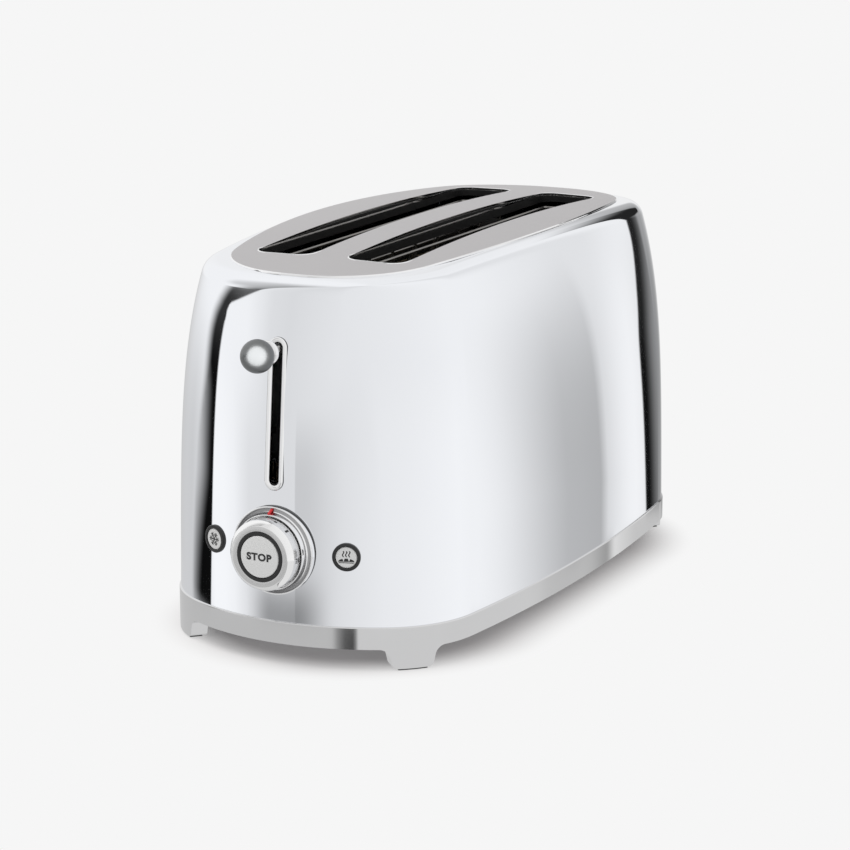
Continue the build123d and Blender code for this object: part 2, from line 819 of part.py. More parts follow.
coil_bottom = magnet_bottom + magnet_yoke
with BuildPart() as magnet_coil:
    with BuildSketch(Plane.XY.offset(coil_bottom)):
        with Locations((0, -magnet_y - magnet_depth / 2)):
            RectangleRounded(magnet_leg / 2 + 2 * coil_wall, magnet_depth + 2 * coil_over, coil_over)
            Rectangle(magnet_leg / 2, magnet_depth, mode=Mode.SUBTRACT)
    extrude(amount=magnet_top - coil_bottom - 2 * armature_gap)
magnet_coil.part.label = "magnet_coil"
export_step(magnet_coil.part, "parts/magnet_coil.step")

with BuildPart() as magnet_bracket:
    with BuildSketch(Plane.XZ.offset(magnet_y)):
        with Locations((0, magnet_bottom - sheet / 2)):
            Rectangle(2 * magnet_half_width, sheet)
        for _, sx in sides:
            with Locations((sx * (magnet_half_width - sheet / 2), (cover_top + magnet_bottom) / 2)):
                Rectangle(sheet, magnet_bottom - cover_top)
    extrude(amount=magnet_depth)
magnet_bracket.part.label = "magnet_bracket"
export_step(magnet_bracket.part, "parts/magnet_bracket.step")

# Side heat shields between the chassis plates
for name, sx in sides:
    with BuildPart() as heat_shield:
        with BuildSketch(Plane.YZ.offset(sx * shield_place - shield_thickness / 2)):
            with Locations((0, (chassis_bottom + chassis_top) / 2)):
                Rectangle(2 * chassis_reach, chassis_top - chassis_bottom - 2 * shield_margin)
        extrude(amount=shield_thickness)
    heat_shield.part.label = f"heat_shield_{name}"
    export_step(heat_shield.part, f"parts/heat_shield_{name}.step")

# Heaters: a mica board and a flat ribbon that runs to and fro over it
ribbon_half_length = chassis_reach - ribbon_margin
ribbon_half_height = (mica_top - mica_bottom) / 2 - ribbon_margin
ribbon_pitch = 2 * ribbon_half_height / (ribbon_runs - 1)
mica_middle = (mica_top + mica_bottom) / 2


def ribbon_on(place, outward):
    """One ribbon on the face of a board, lying on the side that outward points to."""
    with BuildPart() as strip:
        face = place + outward * mica_thickness / 2
        with BuildSketch(Plane.YZ.offset(face)):
            with Locations((0, mica_middle)):
                with GridLocations(0, ribbon_pitch, 1, ribbon_runs):
                    Rectangle(2 * ribbon_half_length, ribbon_width)
            for k in range(ribbon_runs - 1):
                end = 1 if k % 2 else -1
                height = mica_middle - ribbon_half_height + (k + 0.5) * ribbon_pitch
                with Locations((end * (ribbon_half_length - ribbon_width / 2), height)):
                    Rectangle(ribbon_width, ribbon_pitch)
        extrude(amount=outward * ribbon_thickness)
    return strip.part


heaters = (
    ("left", -outer_mica_place, (1,)),
    ("middle", 0.0, (-1, 1)),
    ("right", outer_mica_place, (-1,)),
)
for name, place, faces_toward in heaters:
    with BuildPart() as heater_board:
        with BuildSketch(Plane.YZ.offset(place - mica_thickness / 2)):
            with Locations((0, mica_middle)):
                Rectangle(2 * chassis_reach, mica_top - mica_bottom)
        extrude(amount=mica_thickness)
    heater_board.part.label = f"heater_board_{name}"
    export_step(heater_board.part, f"parts/heater_board_{name}.step")
    with BuildPart() as heater_ribbon:
        for outward in faces_toward:
            add(ribbon_on(place, outward))
    heater_ribbon.part.label = f"heater_ribbon_{name}"
    export_step(heater_ribbon.part, f"parts/heater_ribbon_{name}.step")

# Bread guides: wire frames on both sides of each slot; their rails slide in the chassis plates
rail_half_length = chassis_reach + sheet + rack_end
for slot_name, sx in sides:
    for side_name, place, inward in guide_places:
        x = sx * place
        toward = sx * inward
        with BuildPart() as guide:
            with BuildSketch(Plane.XZ.offset(-rail_half_length)):
                with Locations((x, guide_bottom), (x, guide_top)):
                    Circle(wire / 2)
            extrude(amount=2 * rail_half_length)
            with BuildSketch(Plane.XY.offset(guide_bottom)):
                with Locations((x, 0)):
                    with GridLocations(0, guide_wire_pitch, 1, guide_wires):
                        Circle(upright_wire / 2)
            extrude(amount=guide_rail - guide_bottom)
            with BuildLine() as hooked:
                Polyline(
                    (x + toward * guide_hook, -guide_rail_half_length, guide_rail),
                    (x, -guide_rail_half_length, guide_rail),
                    (x, guide_rail_half_length, guide_rail),
                    (x + toward * guide_hook, guide_rail_half_length, guide_rail),
                )
                fillet(hooked.vertices().sort_by(Axis.X, reverse=toward > 0)[2:], hook_bend)
            with BuildSketch(Plane(origin=hooked.line @ 0, z_dir=hooked.line % 0)):
                Circle(wire / 2)
            sweep(path=hooked.line)
        guide.part.label = f"bread_guide_{slot_name}_{side_name}"
        export_step(guide.part, f"parts/bread_guide_{slot_name}_{side_name}.step")

# Crumb tray: a shallow open pan, with a front that closes the window in the base ring
tray_bottom = ledge_top + running_gap
with BuildPart() as crumb_tray:
    for lower, grow in ((tray_bottom, 0), (tray_bottom + tray_sheet, tray_sheet)):
        with BuildSketch(Plane.XY.offset(lower)):
            with Locations((0, tray_half_length - tray_front)):
                Rectangle(2 * (tray_half_width - grow), 2 * (tray_half_length - grow))
            add(ring_oval.inset(tray_front_wall + grow).face(), mode=Mode.INTERSECT)
        extrude(amount=tray_height, mode=Mode.SUBTRACT if grow else Mode.ADD)
crumb_tray.part.label = "crumb_tray"
export_step(crumb_tray.part, "parts/crumb_tray.step")

tray_front_height = window_top - ledge_top - 2 * tray_front_gap
tray_front_middle = (window_top + ledge_top) / 2
with BuildPart() as crumb_tray_front:
    for lower, height, half_width, wall in (
        (ledge_top + tray_front_gap, tray_front_height, tray_front_half_width, tray_front_wall),
        (tray_front_middle - tray_groove_height / 2, tray_groove_height, tray_groove_half, tray_groove_depth),
    ):
        with BuildSketch(Plane.XY.offset(lower)):
            with Locations((0, ring_half_length)):
                Rectangle(2 * half_width, ring_half_length)
            add(ring_oval.face(), mode=Mode.INTERSECT)
            add(ring_oval.inset(wall).face(), mode=Mode.SUBTRACT)
        extrude(amount=height, mode=Mode.SUBTRACT if wall < tray_front_wall else Mode.ADD)
crumb_tray_front.part.label = "crumb_tray_front"
export_step(crumb_tray_front.part, "parts/crumb_tray_front.step")

# Browning dial: a coved bezel on the skin, with a neck through it
dial_plane = facing(0, dial_height)
neck_bore = neck_radius - neck_wall
collar_bore = knob_radius + knob_gap
cove = Vector(bezel_cove_radius + bezel_rim_width, bezel_cove_height)
collar_edge = Vector(bezel_collar_radius, bezel_collar_height)
with BuildPart() as dial_bezel:
    add(spun(dial_plane, [
        (neck_bore, -neck_depth), (bezel_radius, -neck_depth), (bezel_radius, bezel_rim_height),
        (bezel_radius - bezel_rim_width, bezel_rim_height), (cove.X, cove.Y), (collar_edge.X, collar_edge.Y),
        (collar_bore, bezel_collar_height), (collar_bore, 2 * bezel_floor), (neck_bore, 2 * bezel_floor),
    ]))
    add(body_solid, mode=Mode.SUBTRACT)
    add(spun(dial_plane, [
        (neck_bore, -neck_depth), (neck_radius, -neck_depth),
        (neck_radius, bezel_floor), (neck_bore, bezel_floor),
    ]))
dial_bezel.part.label = "dial_bezel"
export_step(dial_bezel.part, "parts/dial_bezel.step")

# Pointer mark: a small bar laid on the rise of the bezel, at the top
mark_foot = cove + (collar_edge - cove) * 0.25
mark_head = cove + (collar_edge - cove) * 0.92
mark_out = Vector(collar_edge.Y - cove.Y, cove.X - collar_edge.X).normalized() * mark_proud
with BuildPart() as pointer_mark:
    add(spun(dial_plane, [(point.X, point.Y) for point in (
        mark_foot, mark_head, mark_head + mark_out, mark_foot + mark_out,
    )]))
    with BuildSketch(dial_plane):
        with Locations((0, bezel_radius)):
            Rectangle(mark_width, bezel_radius)
    extrude(amount=bezel_radius, mode=Mode.INTERSECT)
pointer_mark.part.label = "pointer_mark"
export_step(pointer_mark.part, "parts/pointer_mark.step")

# Knob: a bevelled drum with a recess in its face and a long hub
recess_radius = stop_ring_outer + running_gap
web_front = knob_reach - recess_depth
web_back = web_front - knob_web
with BuildPart() as browning_knob:
    add(spun(dial_plane, [
        (hub_bore, -hub_depth), (hub_radius, -hub_depth), (hub_radius, web_back),
        (knob_radius - knob_skin, web_back), (knob_radius - knob_skin, knob_back), (knob_radius, knob_back),
        (knob_radius, knob_reach - knob_bevel), (knob_radius - knob_bevel, knob_reach),
        (recess_radius, knob_reach), (recess_radius, web_front), (hub_bore, web_front),
    ]))
browning_knob.part.label = "browning_knob"
export_step(browning_knob.part, "parts/browning_knob.step")

with BuildPart() as stop_ring:
    add(spun(dial_plane, [
        (stop_ring_inner, web_front), (stop_ring_outer, web_front),
        (stop_ring_outer, knob_reach + stop_proud / 2), (stop_ring_inner, knob_reach + stop_proud / 2),
    ]))
stop_ring.part.label = "stop_ring"
export_step(stop_ring.part, "parts/stop_ring.step")

# Stop button: a disc in the knob's face with a plunger down the hub
stop_front = knob_reach + stop_proud
plunger_back = switch_height - board_reach + stop_travel + loose_gap
with BuildPart() as stop_button:
    add(spun(dial_plane, [
        (0, plunger_back), (plunger_radius, plunger_back), (plunger_radius, stop_front - stop_cap),
        (stop_radius, stop_front - stop_cap), (stop_radius, stop_front - stop_proud),
        (stop_radius - stop_proud, stop_front), (0, stop_front),
    ]))
stop_button.part.label = "stop_button"
export_step(stop_button.part, "parts/stop_button.step")

# Side buttons: a black ring in the skin and a disc that slides in it
button_ring_bore = button_radius + running_gap
for name, plane in (("defrost", control_planes["left"]), ("warming", control_planes["right"])):
    with BuildPart() as button_ring:
        add(spun(plane, [
            (button_ring_bore, -button_ring_depth), (button_ring_radius, -button_ring_depth),
            (button_ring_radius, button_ring_proud / 2), (button_ring_neck, button_ring_proud),
            (button_ring_bore, button_ring_proud),
        ]))
        add(body_solid, mode=Mode.SUBTRACT)
        add(spun(plane, [
            (button_ring_bore, -button_ring_depth), (button_ring_neck, -button_ring_depth),
            (button_ring_neck, button_ring_proud / 2), (button_ring_bore, button_ring_proud / 2),
        ]))
    button_ring.part.label = f"{name}_ring"
    export_step(button_ring.part, f"parts/{name}_ring.step")
    with BuildPart() as side_button:
        with BuildSketch(plane.offset(button_proud - button_thickness)):
            Circle(button_radius)
        extrude(amount=button_thickness)
    side_button.part.label = f"{name}_button"
    export_step(side_button.part, f"parts/{name}_button.step")

# Control board behind the controls, its bracket, the dial's sensor and three contact switches
board_front = front_face(0, dial_height) - board_reach
board_back = board_front - board_thickness
with BuildPart() as control_board:
    with BuildSketch(Plane.XZ.offset(board_back)):
        with Locations((0, (board_bottom + board_top) / 2)):
            Rectangle(2 * board_half_width, board_top - board_bottom)
    extrude(amount=board_thickness)
control_board.part.label = "control_board"
export_step(control_board.part, "parts/control_board.step")

with BuildPart() as board_bracket:
    with BuildSketch(Plane.XZ.offset(board_back - bracket_thickness)):
        with Locations((0, (ledge_top + bracket_top) / 2)):
            Rectangle(2 * (board_half_width - bracket_margin), bracket_top - ledge_top)
    extrude(amount=bracket_thickness)
board_bracket.part.label = "board_bracket"
export_step(board_bracket.part, "parts/board_bracket.step")

with BuildPart() as rotary_sensor:
    with BuildSketch(Plane.XZ.offset(board_front)):
        with Locations((0, dial_height)):
            Circle(sensor_radius)
            Circle(hub_radius + 2 * running_gap, mode=Mode.SUBTRACT)
    extrude(amount=sensor_thickness)
rotary_sensor.part.label = "rotary_sensor"
export_step(rotary_sensor.part, "parts/rotary_sensor.step")

button_swing = bearing(button_place, button_height) * pi / 180
to_board = (front_face(button_place, button_height) - board_front) / cos(button_swing)
switch_place = button_place - to_board * sin(button_swing)
with BuildPart() as push_switches:
    with BuildSketch(Plane.XZ.offset(board_front)):
        with Locations((0, dial_height)):
            Circle(switch_radius)
    extrude(amount=switch_height)
    with BuildSketch(Plane.XZ.offset(board_front)):
        with Locations((-switch_place, button_height), (switch_place, button_height)):
            Rectangle(switch_size, switch_size)
    extrude(amount=switch_thickness)
push_switches.part.label = "push_switches"
export_step(push_switches.part, "parts/push_switches.step")
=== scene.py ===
# %% [markdown]
# # A retro toaster, dressed for the studio
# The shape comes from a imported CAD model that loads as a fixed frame. This script gives each piece
# its finish, rebuilds the pieces that need a finer surface than the CAD mesh, and sets up a plain
# pale studio. Objects are in metres, in the CAD model's frame. The toaster's own sizes are written
# in millimetres, as on its drawing, and MM turns them into metres.

# %% Load the frame
from math import asin, atan2, copysign, cos, degrees, hypot, pi, radians, sin, sqrt

import bmesh
import bpy
from mathutils import Matrix, Vector


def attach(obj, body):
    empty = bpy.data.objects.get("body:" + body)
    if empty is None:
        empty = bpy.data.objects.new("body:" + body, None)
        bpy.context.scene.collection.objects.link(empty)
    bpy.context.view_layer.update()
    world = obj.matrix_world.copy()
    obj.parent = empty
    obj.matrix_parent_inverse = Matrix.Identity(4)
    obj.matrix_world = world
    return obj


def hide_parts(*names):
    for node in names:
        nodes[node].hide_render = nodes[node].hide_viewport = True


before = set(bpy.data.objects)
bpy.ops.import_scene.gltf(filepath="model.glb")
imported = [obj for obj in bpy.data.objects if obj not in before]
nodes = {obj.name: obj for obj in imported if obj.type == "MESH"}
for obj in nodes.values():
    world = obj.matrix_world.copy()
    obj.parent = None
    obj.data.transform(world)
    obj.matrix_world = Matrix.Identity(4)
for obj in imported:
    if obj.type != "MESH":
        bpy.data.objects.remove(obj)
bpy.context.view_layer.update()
MM = 0.001

# %% [markdown]
# ## Shader maths that reads like arithmetic
# A node tree is hard to read as a list of links. Here a small class wraps a socket, so that
# `1 - mask * 0.4` adds the Math nodes by itself. Any other node comes from one method that takes
# its type, its settings, and what goes into its sockets.


# %% A shader value
class Flow:
    """A shader value: arithmetic on it adds Math nodes."""

    def __init__(self, paint, socket):
        self.paint = paint
        self.socket = socket

    def maths(self, operation, *others):
        return self.paint.maths(operation, self, *others)

    def __add__(self, other):
        return self.maths("ADD", other)

    __radd__ = __add__

    def __sub__(self, other):
        return self.maths("SUBTRACT", other)

    def __rsub__(self, other):
        return self.paint.maths("SUBTRACT", other, self)

    def __mul__(self, other):
        return self.maths("MULTIPLY", other)

    __rmul__ = __mul__

    def __truediv__(self, other):
        return self.maths("DIVIDE", other)

    def __abs__(self):
        return self.maths("ABSOLUTE")

    def at_least(self, limit):
        return self.maths("MAXIMUM", limit)

    # one mask or the other
    __or__ = at_least

    def at_most(self, limit):
        return self.maths("MINIMUM", limit)

    def step(self, low, high):
        """Rises smoothly from 0 at low to 1 at high; low above high makes it fall."""
        ends = {"Value": self, "From Min": low, "From Max": high}
        if low > high:
            ends |= {"From Min": high, "From Max": low, "To Min": 1.0, "To Max": 0.0}
        return self.paint.node("ShaderNodeMapRange", {"interpolation_type": "SMOOTHSTEP"}, ends)

    def stepped(self, start, *changes):
        """A start plus changes: amounts that come in smoothly from a low to a high value."""
        total = start
        for amount, low, high in changes:
            total = total + amount * self.step(low, high)
        return total


# %% A tree of nodes
MIX_COLOUR = 2


class Paint:
    """A material or world tree, with one method that adds any node."""

    def __init__(self, owner):
        self.owner = owner
        owner.use_nodes = True
        self.tree = owner.node_tree
        self.tree.nodes.clear()

    def node(self, kind, settings=None, sockets=None, out=0):
        node = self.tree.nodes.new(kind)
        for key, value in (settings or {}).items():
            if key == "stops":
                ramp = node.color_ramp
                while len(ramp.elements) < len(value):
                    ramp.elements.new(0.5)
                for element, (place, grey) in zip(ramp.elements, value):
                    element.position = place
                    element.color = (grey, grey, grey, 1.0)
            else:
                setattr(node, key, value)
        for key, value in (sockets or {}).items():
            target = node.inputs[key]
            if isinstance(value, Flow):
                self.tree.links.new(value.socket, target)
            elif isinstance(value, tuple) and target.type == "RGBA":
                target.default_value = (*value, 1.0)
            else:
                target.default_value = value
        return Flow(self, node.outputs[out]) if node.outputs else None

    def maths(self, operation, *values):
        return self.node("ShaderNodeMath", {"operation": operation}, dict(enumerate(values)))

    def vector(self, operation, first, second, out=0):
        sockets = {0: first, 1: second}
        return self.node("ShaderNodeVectorMath", {"operation": operation}, sockets, out)

    def where(self):
        """The place on the object, in metres."""
        return self.node("ShaderNodeTexCoord", out="Object")

    def parts(self, vector):
        split = self.node("ShaderNodeSeparateXYZ", None, {"Vector": vector})
        return [Flow(self, output) for output in split.socket.node.outputs]

    def noise(self, scale, detail, stretch=(1.0, 1.0, 1.0), rough=0.5):
        """Noise in object space: scale in cells per metre, stretched along the axes."""
        place = self.node("ShaderNodeMapping", None, {"Vector": self.where(), "Scale": stretch})
        sockets = {"Vector": place, "Scale": scale, "Detail": detail, "Roughness": rough}
        return self.node("ShaderNodeTexNoise", None, sockets)

    def tone(self, share, first, second):
        """A colour between two, by a share that varies over the surface."""
        sockets = {"Factor": share, "A": first, "B": second}
        return self.node("ShaderNodeMix", {"data_type": "RGBA"}, sockets, out=MIX_COLOUR)

    def surface(self, sockets, bump=None):
        """A Principled surface. A bump is a height, its strength and its depth in metres."""
        if bump:
            relief = dict(zip(("Height", "Strength", "Distance"), bump))
            sockets = {**sockets, "Normal": self.node("ShaderNodeBump", None, relief)}
        shader = self.node("ShaderNodeBsdfPrincipled", None, sockets)
        self.node("ShaderNodeOutputMaterial", None, {"Surface": shader})
        return self.owner

    def two_tone(self, first, second, tint, rough, fine=None, metal=0.0, bump=None):
        """Colour follows the tint. Roughness, as start and change, and bump follow the fine one."""
        fine = tint if fine is None else fine
        start, change = rough
        return self.surface({
            "Base Color": self.tone(tint, first, second), "Metallic": metal,
            "Roughness": start + change * fine,
        }, bump and (fine, *bump))


def finish(name):
    print("mixing", name)
    return Paint(bpy.data.materials.new(name))


def grained(name, first, second, tint, rough, fine=None, metal=0.0, bump=None):
    """A finish of noises alone: tint and fine are the scale, detail and stretch of each."""
    paint = finish(name)
    fine = paint.noise(*fine) if fine else None
    return paint.two_tone(first, second, paint.noise(*tint), rough, fine, metal, bump)


# %% [markdown]
# ## The studio camera
# A camera can be set by eye, but a long lens hides small errors. This view was worked out once from
# the toaster's own edges and ovals: 27 degrees to the right of the control end, 13 degrees down.

# %% Camera
VIEW_TURN = radians(26.96)
VIEW_DOWN = radians(13.38)
CAMERA_PLACE = (0.739674, -1.466310, 0.480882)
PICTURE_WIDTH = 850.0
FOCUS_IN_PIXELS = 2911.09
SENSOR_WIDTH = 36.0


def placed(name, data):
    """A new object in the scene."""
    thing = bpy.data.objects.new(name, data)
    bpy.context.scene.collection.objects.link(thing)
    return thing


camera_data = bpy.data.cameras.new("studio_camera")
camera = placed("studio_camera", camera_data)
level = cos(VIEW_DOWN)
back = Vector((sin(VIEW_TURN) * level, -cos(VIEW_TURN) * level, sin(VIEW_DOWN)))
right = Vector((cos(VIEW_TURN), sin(VIEW_TURN), 0.0))
axes = Matrix((right, back.cross(right), back)).transposed()
camera.matrix_world = Matrix.Translation(CAMERA_PLACE) @ axes.to_4x4()
camera_data.sensor_width = SENSOR_WIDTH
camera_data.lens = FOCUS_IN_PIXELS * SENSOR_WIDTH / PICTURE_WIDTH
bpy.context.scene.camera = camera
print("camera", round(camera_data.lens, 1), "mm lens")

# %% [markdown]
# ## Studio world
# Polished steel shows nothing but its surroundings, so they are part of the finish. Real panels
# would also throw light and shadow, so here the world is plain for the camera and for matt
# surfaces, and only reflections see a white tent with dark gaps. Two angles in degrees place them:
# the turn from the front to the right side, and the rise from level.

# %% Directions
world = bpy.data.worlds.new("studio")
bpy.context.scene.world = world
tent = Paint(world)
east, north, high = tent.parts(tent.node("ShaderNodeTexCoord", out="Generated"))
turn = east.maths("ARCTAN2", -1.0 * north) * degrees(1.0)
rise = high.maths("ARCSINE") * degrees(1.0)
FULL_TURN = 360.0


def share_of_turn(angle):
    """Round the horizon from 0 to 1: behind, left, front, right, behind."""
    return (angle + 180.0) / FULL_TURN


def shade(grey):
    """The linear light of a display grey from 0 to 255."""
    share = grey / 255.0
    return ((share + 0.055) / 1.055) ** 2.4 if share > 0.04045 else share / 12.92


def panels(stops, place):
    """Light round the tent: each stop is a turn and the grey that the steel shows there."""
    ramp = [(share_of_turn(angle), shade(grey)) for angle, grey in stops]
    return tent.node("ShaderNodeValToRGB", {"stops": ramp}, {"Fac": place})


print("middle grey is", round(shade(128), 3), "of white")

# %% The tent's panels, low and high
# these greys, and the ring's further on, were read off the photograph's reflections by direction,
# then toned by comparing renders with it
low_stops = [
    (-180, 205), (-150, 200), (-110, 208), (-96, 206), (-84, 215), (-70, 252), (-62, 251),
    (-55, 246), (-50, 236), (-45, 226), (-30, 223), (-18, 223), (-6, 224), (4, 225), (15, 231),
    (30, 238), (60, 241), (90, 245), (120, 248), (141, 246), (144, 237), (147, 221), (150, 204),
    (153, 187), (159, 180), (159.6, 216), (162, 233), (164, 244), (166.6, 248), (171, 217),
    (180, 200),
]
high_stops = [
    (-180, 241), (-150, 240), (-130, 246), (-62, 247), (-46, 246), (-42, 240), (-38, 234),
    (-34, 226), (-25, 222), (0, 233), (60, 238), (120, 244), (140, 244), (152, 230), (158, 230),
    (164, 243), (180, 241),
]
bend = 0.43 * (rise + 13.6).at_least(0.0) * turn.step(110.0, 140.0)
low = panels(low_stops, share_of_turn(turn) + bend.at_most(6.5) / FULL_TURN)
upper = panels(high_stops, share_of_turn(turn))
print("panels:", len(low_stops), "stops low down,", len(high_stops), "higher up")

# %% The dark gap on the left
# its right edge is sharp, leans with height and swings over at the top
SWING_START = 4.4
SWING_HEIGHT = 6.4
swing = (rise - SWING_START).at_least(0.0)
edge = (
    -60.7 + 0.865 * rise.at_most(SWING_START) + 2.4 * swing.at_most(SWING_HEIGHT)
    + 0.1 * (swing - SWING_HEIGHT).at_least(0.0).at_most(44.0)
)
from_edge = turn - edge
depth = rise.stepped(
    0.995, (-0.03, -6.0, 3.0), (-0.1, 5.0, 10.0), (-0.56, 12.0, 32.0), (-0.305, 42.0, 70.0)
)
middle = rise.stepped(
    -7.0, (-7.0, -12.0, -16.0), (-6.5, -8.0, 0.0), (3.0, 1.0, 5.0), (5.0, 6.0, 10.0)
)
tail = 0.37 * rise.step(12.0, 30.0) * rise.step(76.0, 48.0) * from_edge.step(-40.0, -12.0)
core = depth * (from_edge - middle).step(-10.0, 6.0)
gap_left = (core + tail - core * tail) * from_edge.step(1.0, 0.0)

# %% The dark gap on the right
# its left edge is sharp, and it widens over the shoulder
round_turn = turn + FULL_TURN * turn.maths("LESS_THAN", 0.0)
right_edge = rise.stepped(168.1, (-2.4, -15.5, -8.0), (0.5, -6.0, -1.0), (3.5, 0.0, 20.0))
from_right = round_turn - right_edge
past = from_right - 11.0 * rise.step(2.0, 12.0)
fade = past.stepped(1.0, (-0.4, 1.0, 4.6), (-0.12, 4.0, 14.0), (-0.48, 14.0, 30.0))
gap_right = rise.stepped(0.98, (0.013, -7.0, -11.0)) * from_right.step(0.0, 0.4) * fade
gap_right = gap_right * rise.step(30.0, 14.0)

# %% Soft shades low on the front
front_gap = 0.18 * turn.step(-18.0, -17.2) * turn.step(10.0, -14.0) * rise.step(-3.0, -10.5)
front_foot = 0.57 * turn.step(-48.0, -32.0) * turn.step(5.0, -18.0) * rise.step(-14.3, -15.6)
over_floor = low + (upper - low) * rise.step(-13.0, 3.0)
for dark in (gap_left, gap_right, front_gap, front_foot):
    over_floor = over_floor * (1.0 - dark)

# %% What the base ring sees
# the ring stands upright, so it reflects an even grey floor with one dark stripe
ring_stops = [
    (-180, 208), (0, 208), (3, 204), (6, 152), (9.5, 100), (12.5, 85), (15.3, 84), (15.9, 226),
    (148.5, 226), (151, 210), (157, 208), (160.5, 165), (160.8, 255), (161.4, 255), (161.9, 240),
    (166, 216), (180, 208),
]
ring_light = panels(ring_stops, share_of_turn(turn))
floor_line = (
    -16.7 + 0.018 * (turn - 118.0).at_least(0.0) + 0.012 * (-38.0 - turn).at_least(0.0)
    + (0.13 * (turn - 154.5)).at_least(0.0).at_most(0.87)
)
studio = over_floor + (ring_light - over_floor) * (rise - floor_line).step(0.45, -0.35)

# %% World
BACKDROP = 0.922
WORLD_LIGHT = 0.62
is_camera = tent.node("ShaderNodeLightPath", out="Is Camera Ray")
is_glossy = tent.node("ShaderNodeLightPath", out="Is Glossy Ray")
unseen = is_glossy * studio + (1.0 - is_glossy) * WORLD_LIGHT
strength = is_camera * BACKDROP + (1.0 - is_camera) * unseen
background = {"Color": (1.0, 1.0, 1.0), "Strength": strength}
sky = tent.node("ShaderNodeBackground", None, background)
tent.node("ShaderNodeOutputWorld", None, {"Surface": sky})
print("backdrop", BACKDROP, "and world light", WORLD_LIGHT)

# %% [markdown]
# ## Lamps and floor
# One large soft lamp from above and the left gives the short soft shadow to the right and below,
# and a weak one fills it from the right. The floor paper is darkened and warmed near the toaster as
# painted shade that deepens the lamps' shadow, and the real shadow falls on it near the feet. Away
# from the toaster it takes the backdrop's own white, so no horizon shows.


# %% Lamps
def soft_lamp(name, place, aim, size, power):
    lamp_data = bpy.data.lights.new(name, "AREA")
    lamp_data.shape = "DISK"
    lamp_data.size = size
    lamp_data.energy = power
    lamp = placed(name, lamp_data)
    lamp.location = place
    lamp.rotation_euler = (Vector(aim) - Vector(place)).to_track_quat("-Z", "Y").to_euler()
    lamp.visible_glossy = False
    print("lamp", name, power, "W")
    return lamp


soft_lamp("overhead", (-0.7, -0.5, 2.2), (0.0, 0.0, 0.0), 1.6, 26.0)
soft_lamp("fill", (1.8, -1.6, 1.2), (0.0, 0.0, 0.1), 1.4, 5.0)

# %% Floor
FLOOR_RADIUS = 6.0
LINE_END = 0.093
# distances from a line under the toaster: all paper with its painted shade, and all backdrop
PAPER_REACH = 0.075
WHITE_REACH = 0.118
floor_mesh = bmesh.new()
bmesh.ops.create_circle(floor_mesh, cap_ends=True, segments=96, radius=FLOOR_RADIUS)
floor_data = bpy.data.meshes.new("floor")
floor_mesh.to_mesh(floor_data)
floor_mesh.free()
floor = placed("floor", floor_data)
floor.visible_glossy = False
paper = finish("floor_paper")
spot = paper.where()
nearest = paper.vector("MINIMUM", spot, (0.0, LINE_END, 0.0))
nearest = paper.vector("MAXIMUM", nearest, (0.0, -LINE_END, 0.0))
far_share = paper.vector("DISTANCE", spot, nearest, "Value").step(PAPER_REACH, WHITE_REACH)
# the paper is darkened and warmed: painted shade round the toaster, fading into the backdrop's white
shaded_paper_colour = paper.tone(paper.noise(900.0, 2.0), (0.685, 0.657, 0.654), (0.695, 0.667, 0.664))
matt = paper.node("ShaderNodeBsdfDiffuse", None, {"Color": shaded_paper_colour})
white = {"Color": (BACKDROP, BACKDROP, BACKDROP), "Strength": 1.0}
glow = paper.node("ShaderNodeEmission", None, white)
mixed = paper.node("ShaderNodeMixShader", None, {0: far_share, 1: matt, 2: glow})
paper.node("ShaderNodeOutputMaterial", None, {"Surface": mixed})
floor_data.materials.append(paper.owner)

# %% [markdown]
# ## Handing a mesh over
# Every new piece leaves the bench in the same way: its bmesh becomes a mesh with smooth faces and
# crisp edges, it is told its finish and the body it rides on, and the CAD nodes it stands for are
# hidden.

# %% The hand-over helper
CRISP = radians(35.0)


def hand_over(name, work, material, body, stands_for=()):
    mesh = bpy.data.meshes.new(name)
    work.to_mesh(mesh)
    work.free()
    for face in mesh.polygons:
        face.use_smooth = True
    mesh.set_sharp_from_angle(angle=CRISP)
    mesh.materials.append(material)
    piece = placed(name, mesh)
    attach(piece, body)
    if stands_for:
        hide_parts(*stands_for)
    print(name, len(mesh.polygons), "faces on", body)
    return piece


# %% [markdown]
# ## The outline of the body
# Seen from above, the body is an oval of eight arcs: two long sides, two ends and four corners. The
# wall leans in a little as it rises, and its ends grow flatter. The CAD model gives these numbers,
# and the same few formulas give any point of the skin without a facet.

# %% Wall outline
RING_TOP = 24.0
CROWN_HEIGHT = 212.2
CROWN_RADIUS = 2093.0
ROLL_RADIUS = 10.0
RING_HALF_WIDTH = 96.1
RING_HALF_LENGTH = 189.0
SKIN_INSET = 0.8
LEAN = 2.9
BULGE = 14.0
BULGE_POWER = 3.7
# side, end and corner arc: the radius at the ring, and its change up to the crown
ARC_RADII = ((1080.0, -130.0), (119.8, 45.2), (57.9, -3.9))


def wall_outline(height):
    """Half width, half length and the radii of the side, end and corner arcs, at a height."""
    share = (height - RING_TOP) / (CROWN_HEIGHT - RING_TOP)
    change = max(share, 0.0) ** BULGE_POWER
    inset = SKIN_INSET + LEAN * share + BULGE * change
    radii = [at_ring + to_crown * change for at_ring, to_crown in ARC_RADII]
    return RING_HALF_WIDTH - inset, RING_HALF_LENGTH - inset, *radii


def corner_middle(outline):
    """Centre of the corner arc, which touches the side arc and the end arc."""
    half_width, half_length, side, end, corner = outline
    side_x = half_width - side
    end_y = half_length - end
    span = hypot(side_x, end_y)
    along = ((side - corner) ** 2 - (end - corner) ** 2 + span**2) / (2.0 * span)
    across = sqrt((side - corner) ** 2 - along**2)
    x = side_x - (along * side_x + across * end_y) / span
    return x, (along * end_y - across * side_x) / span


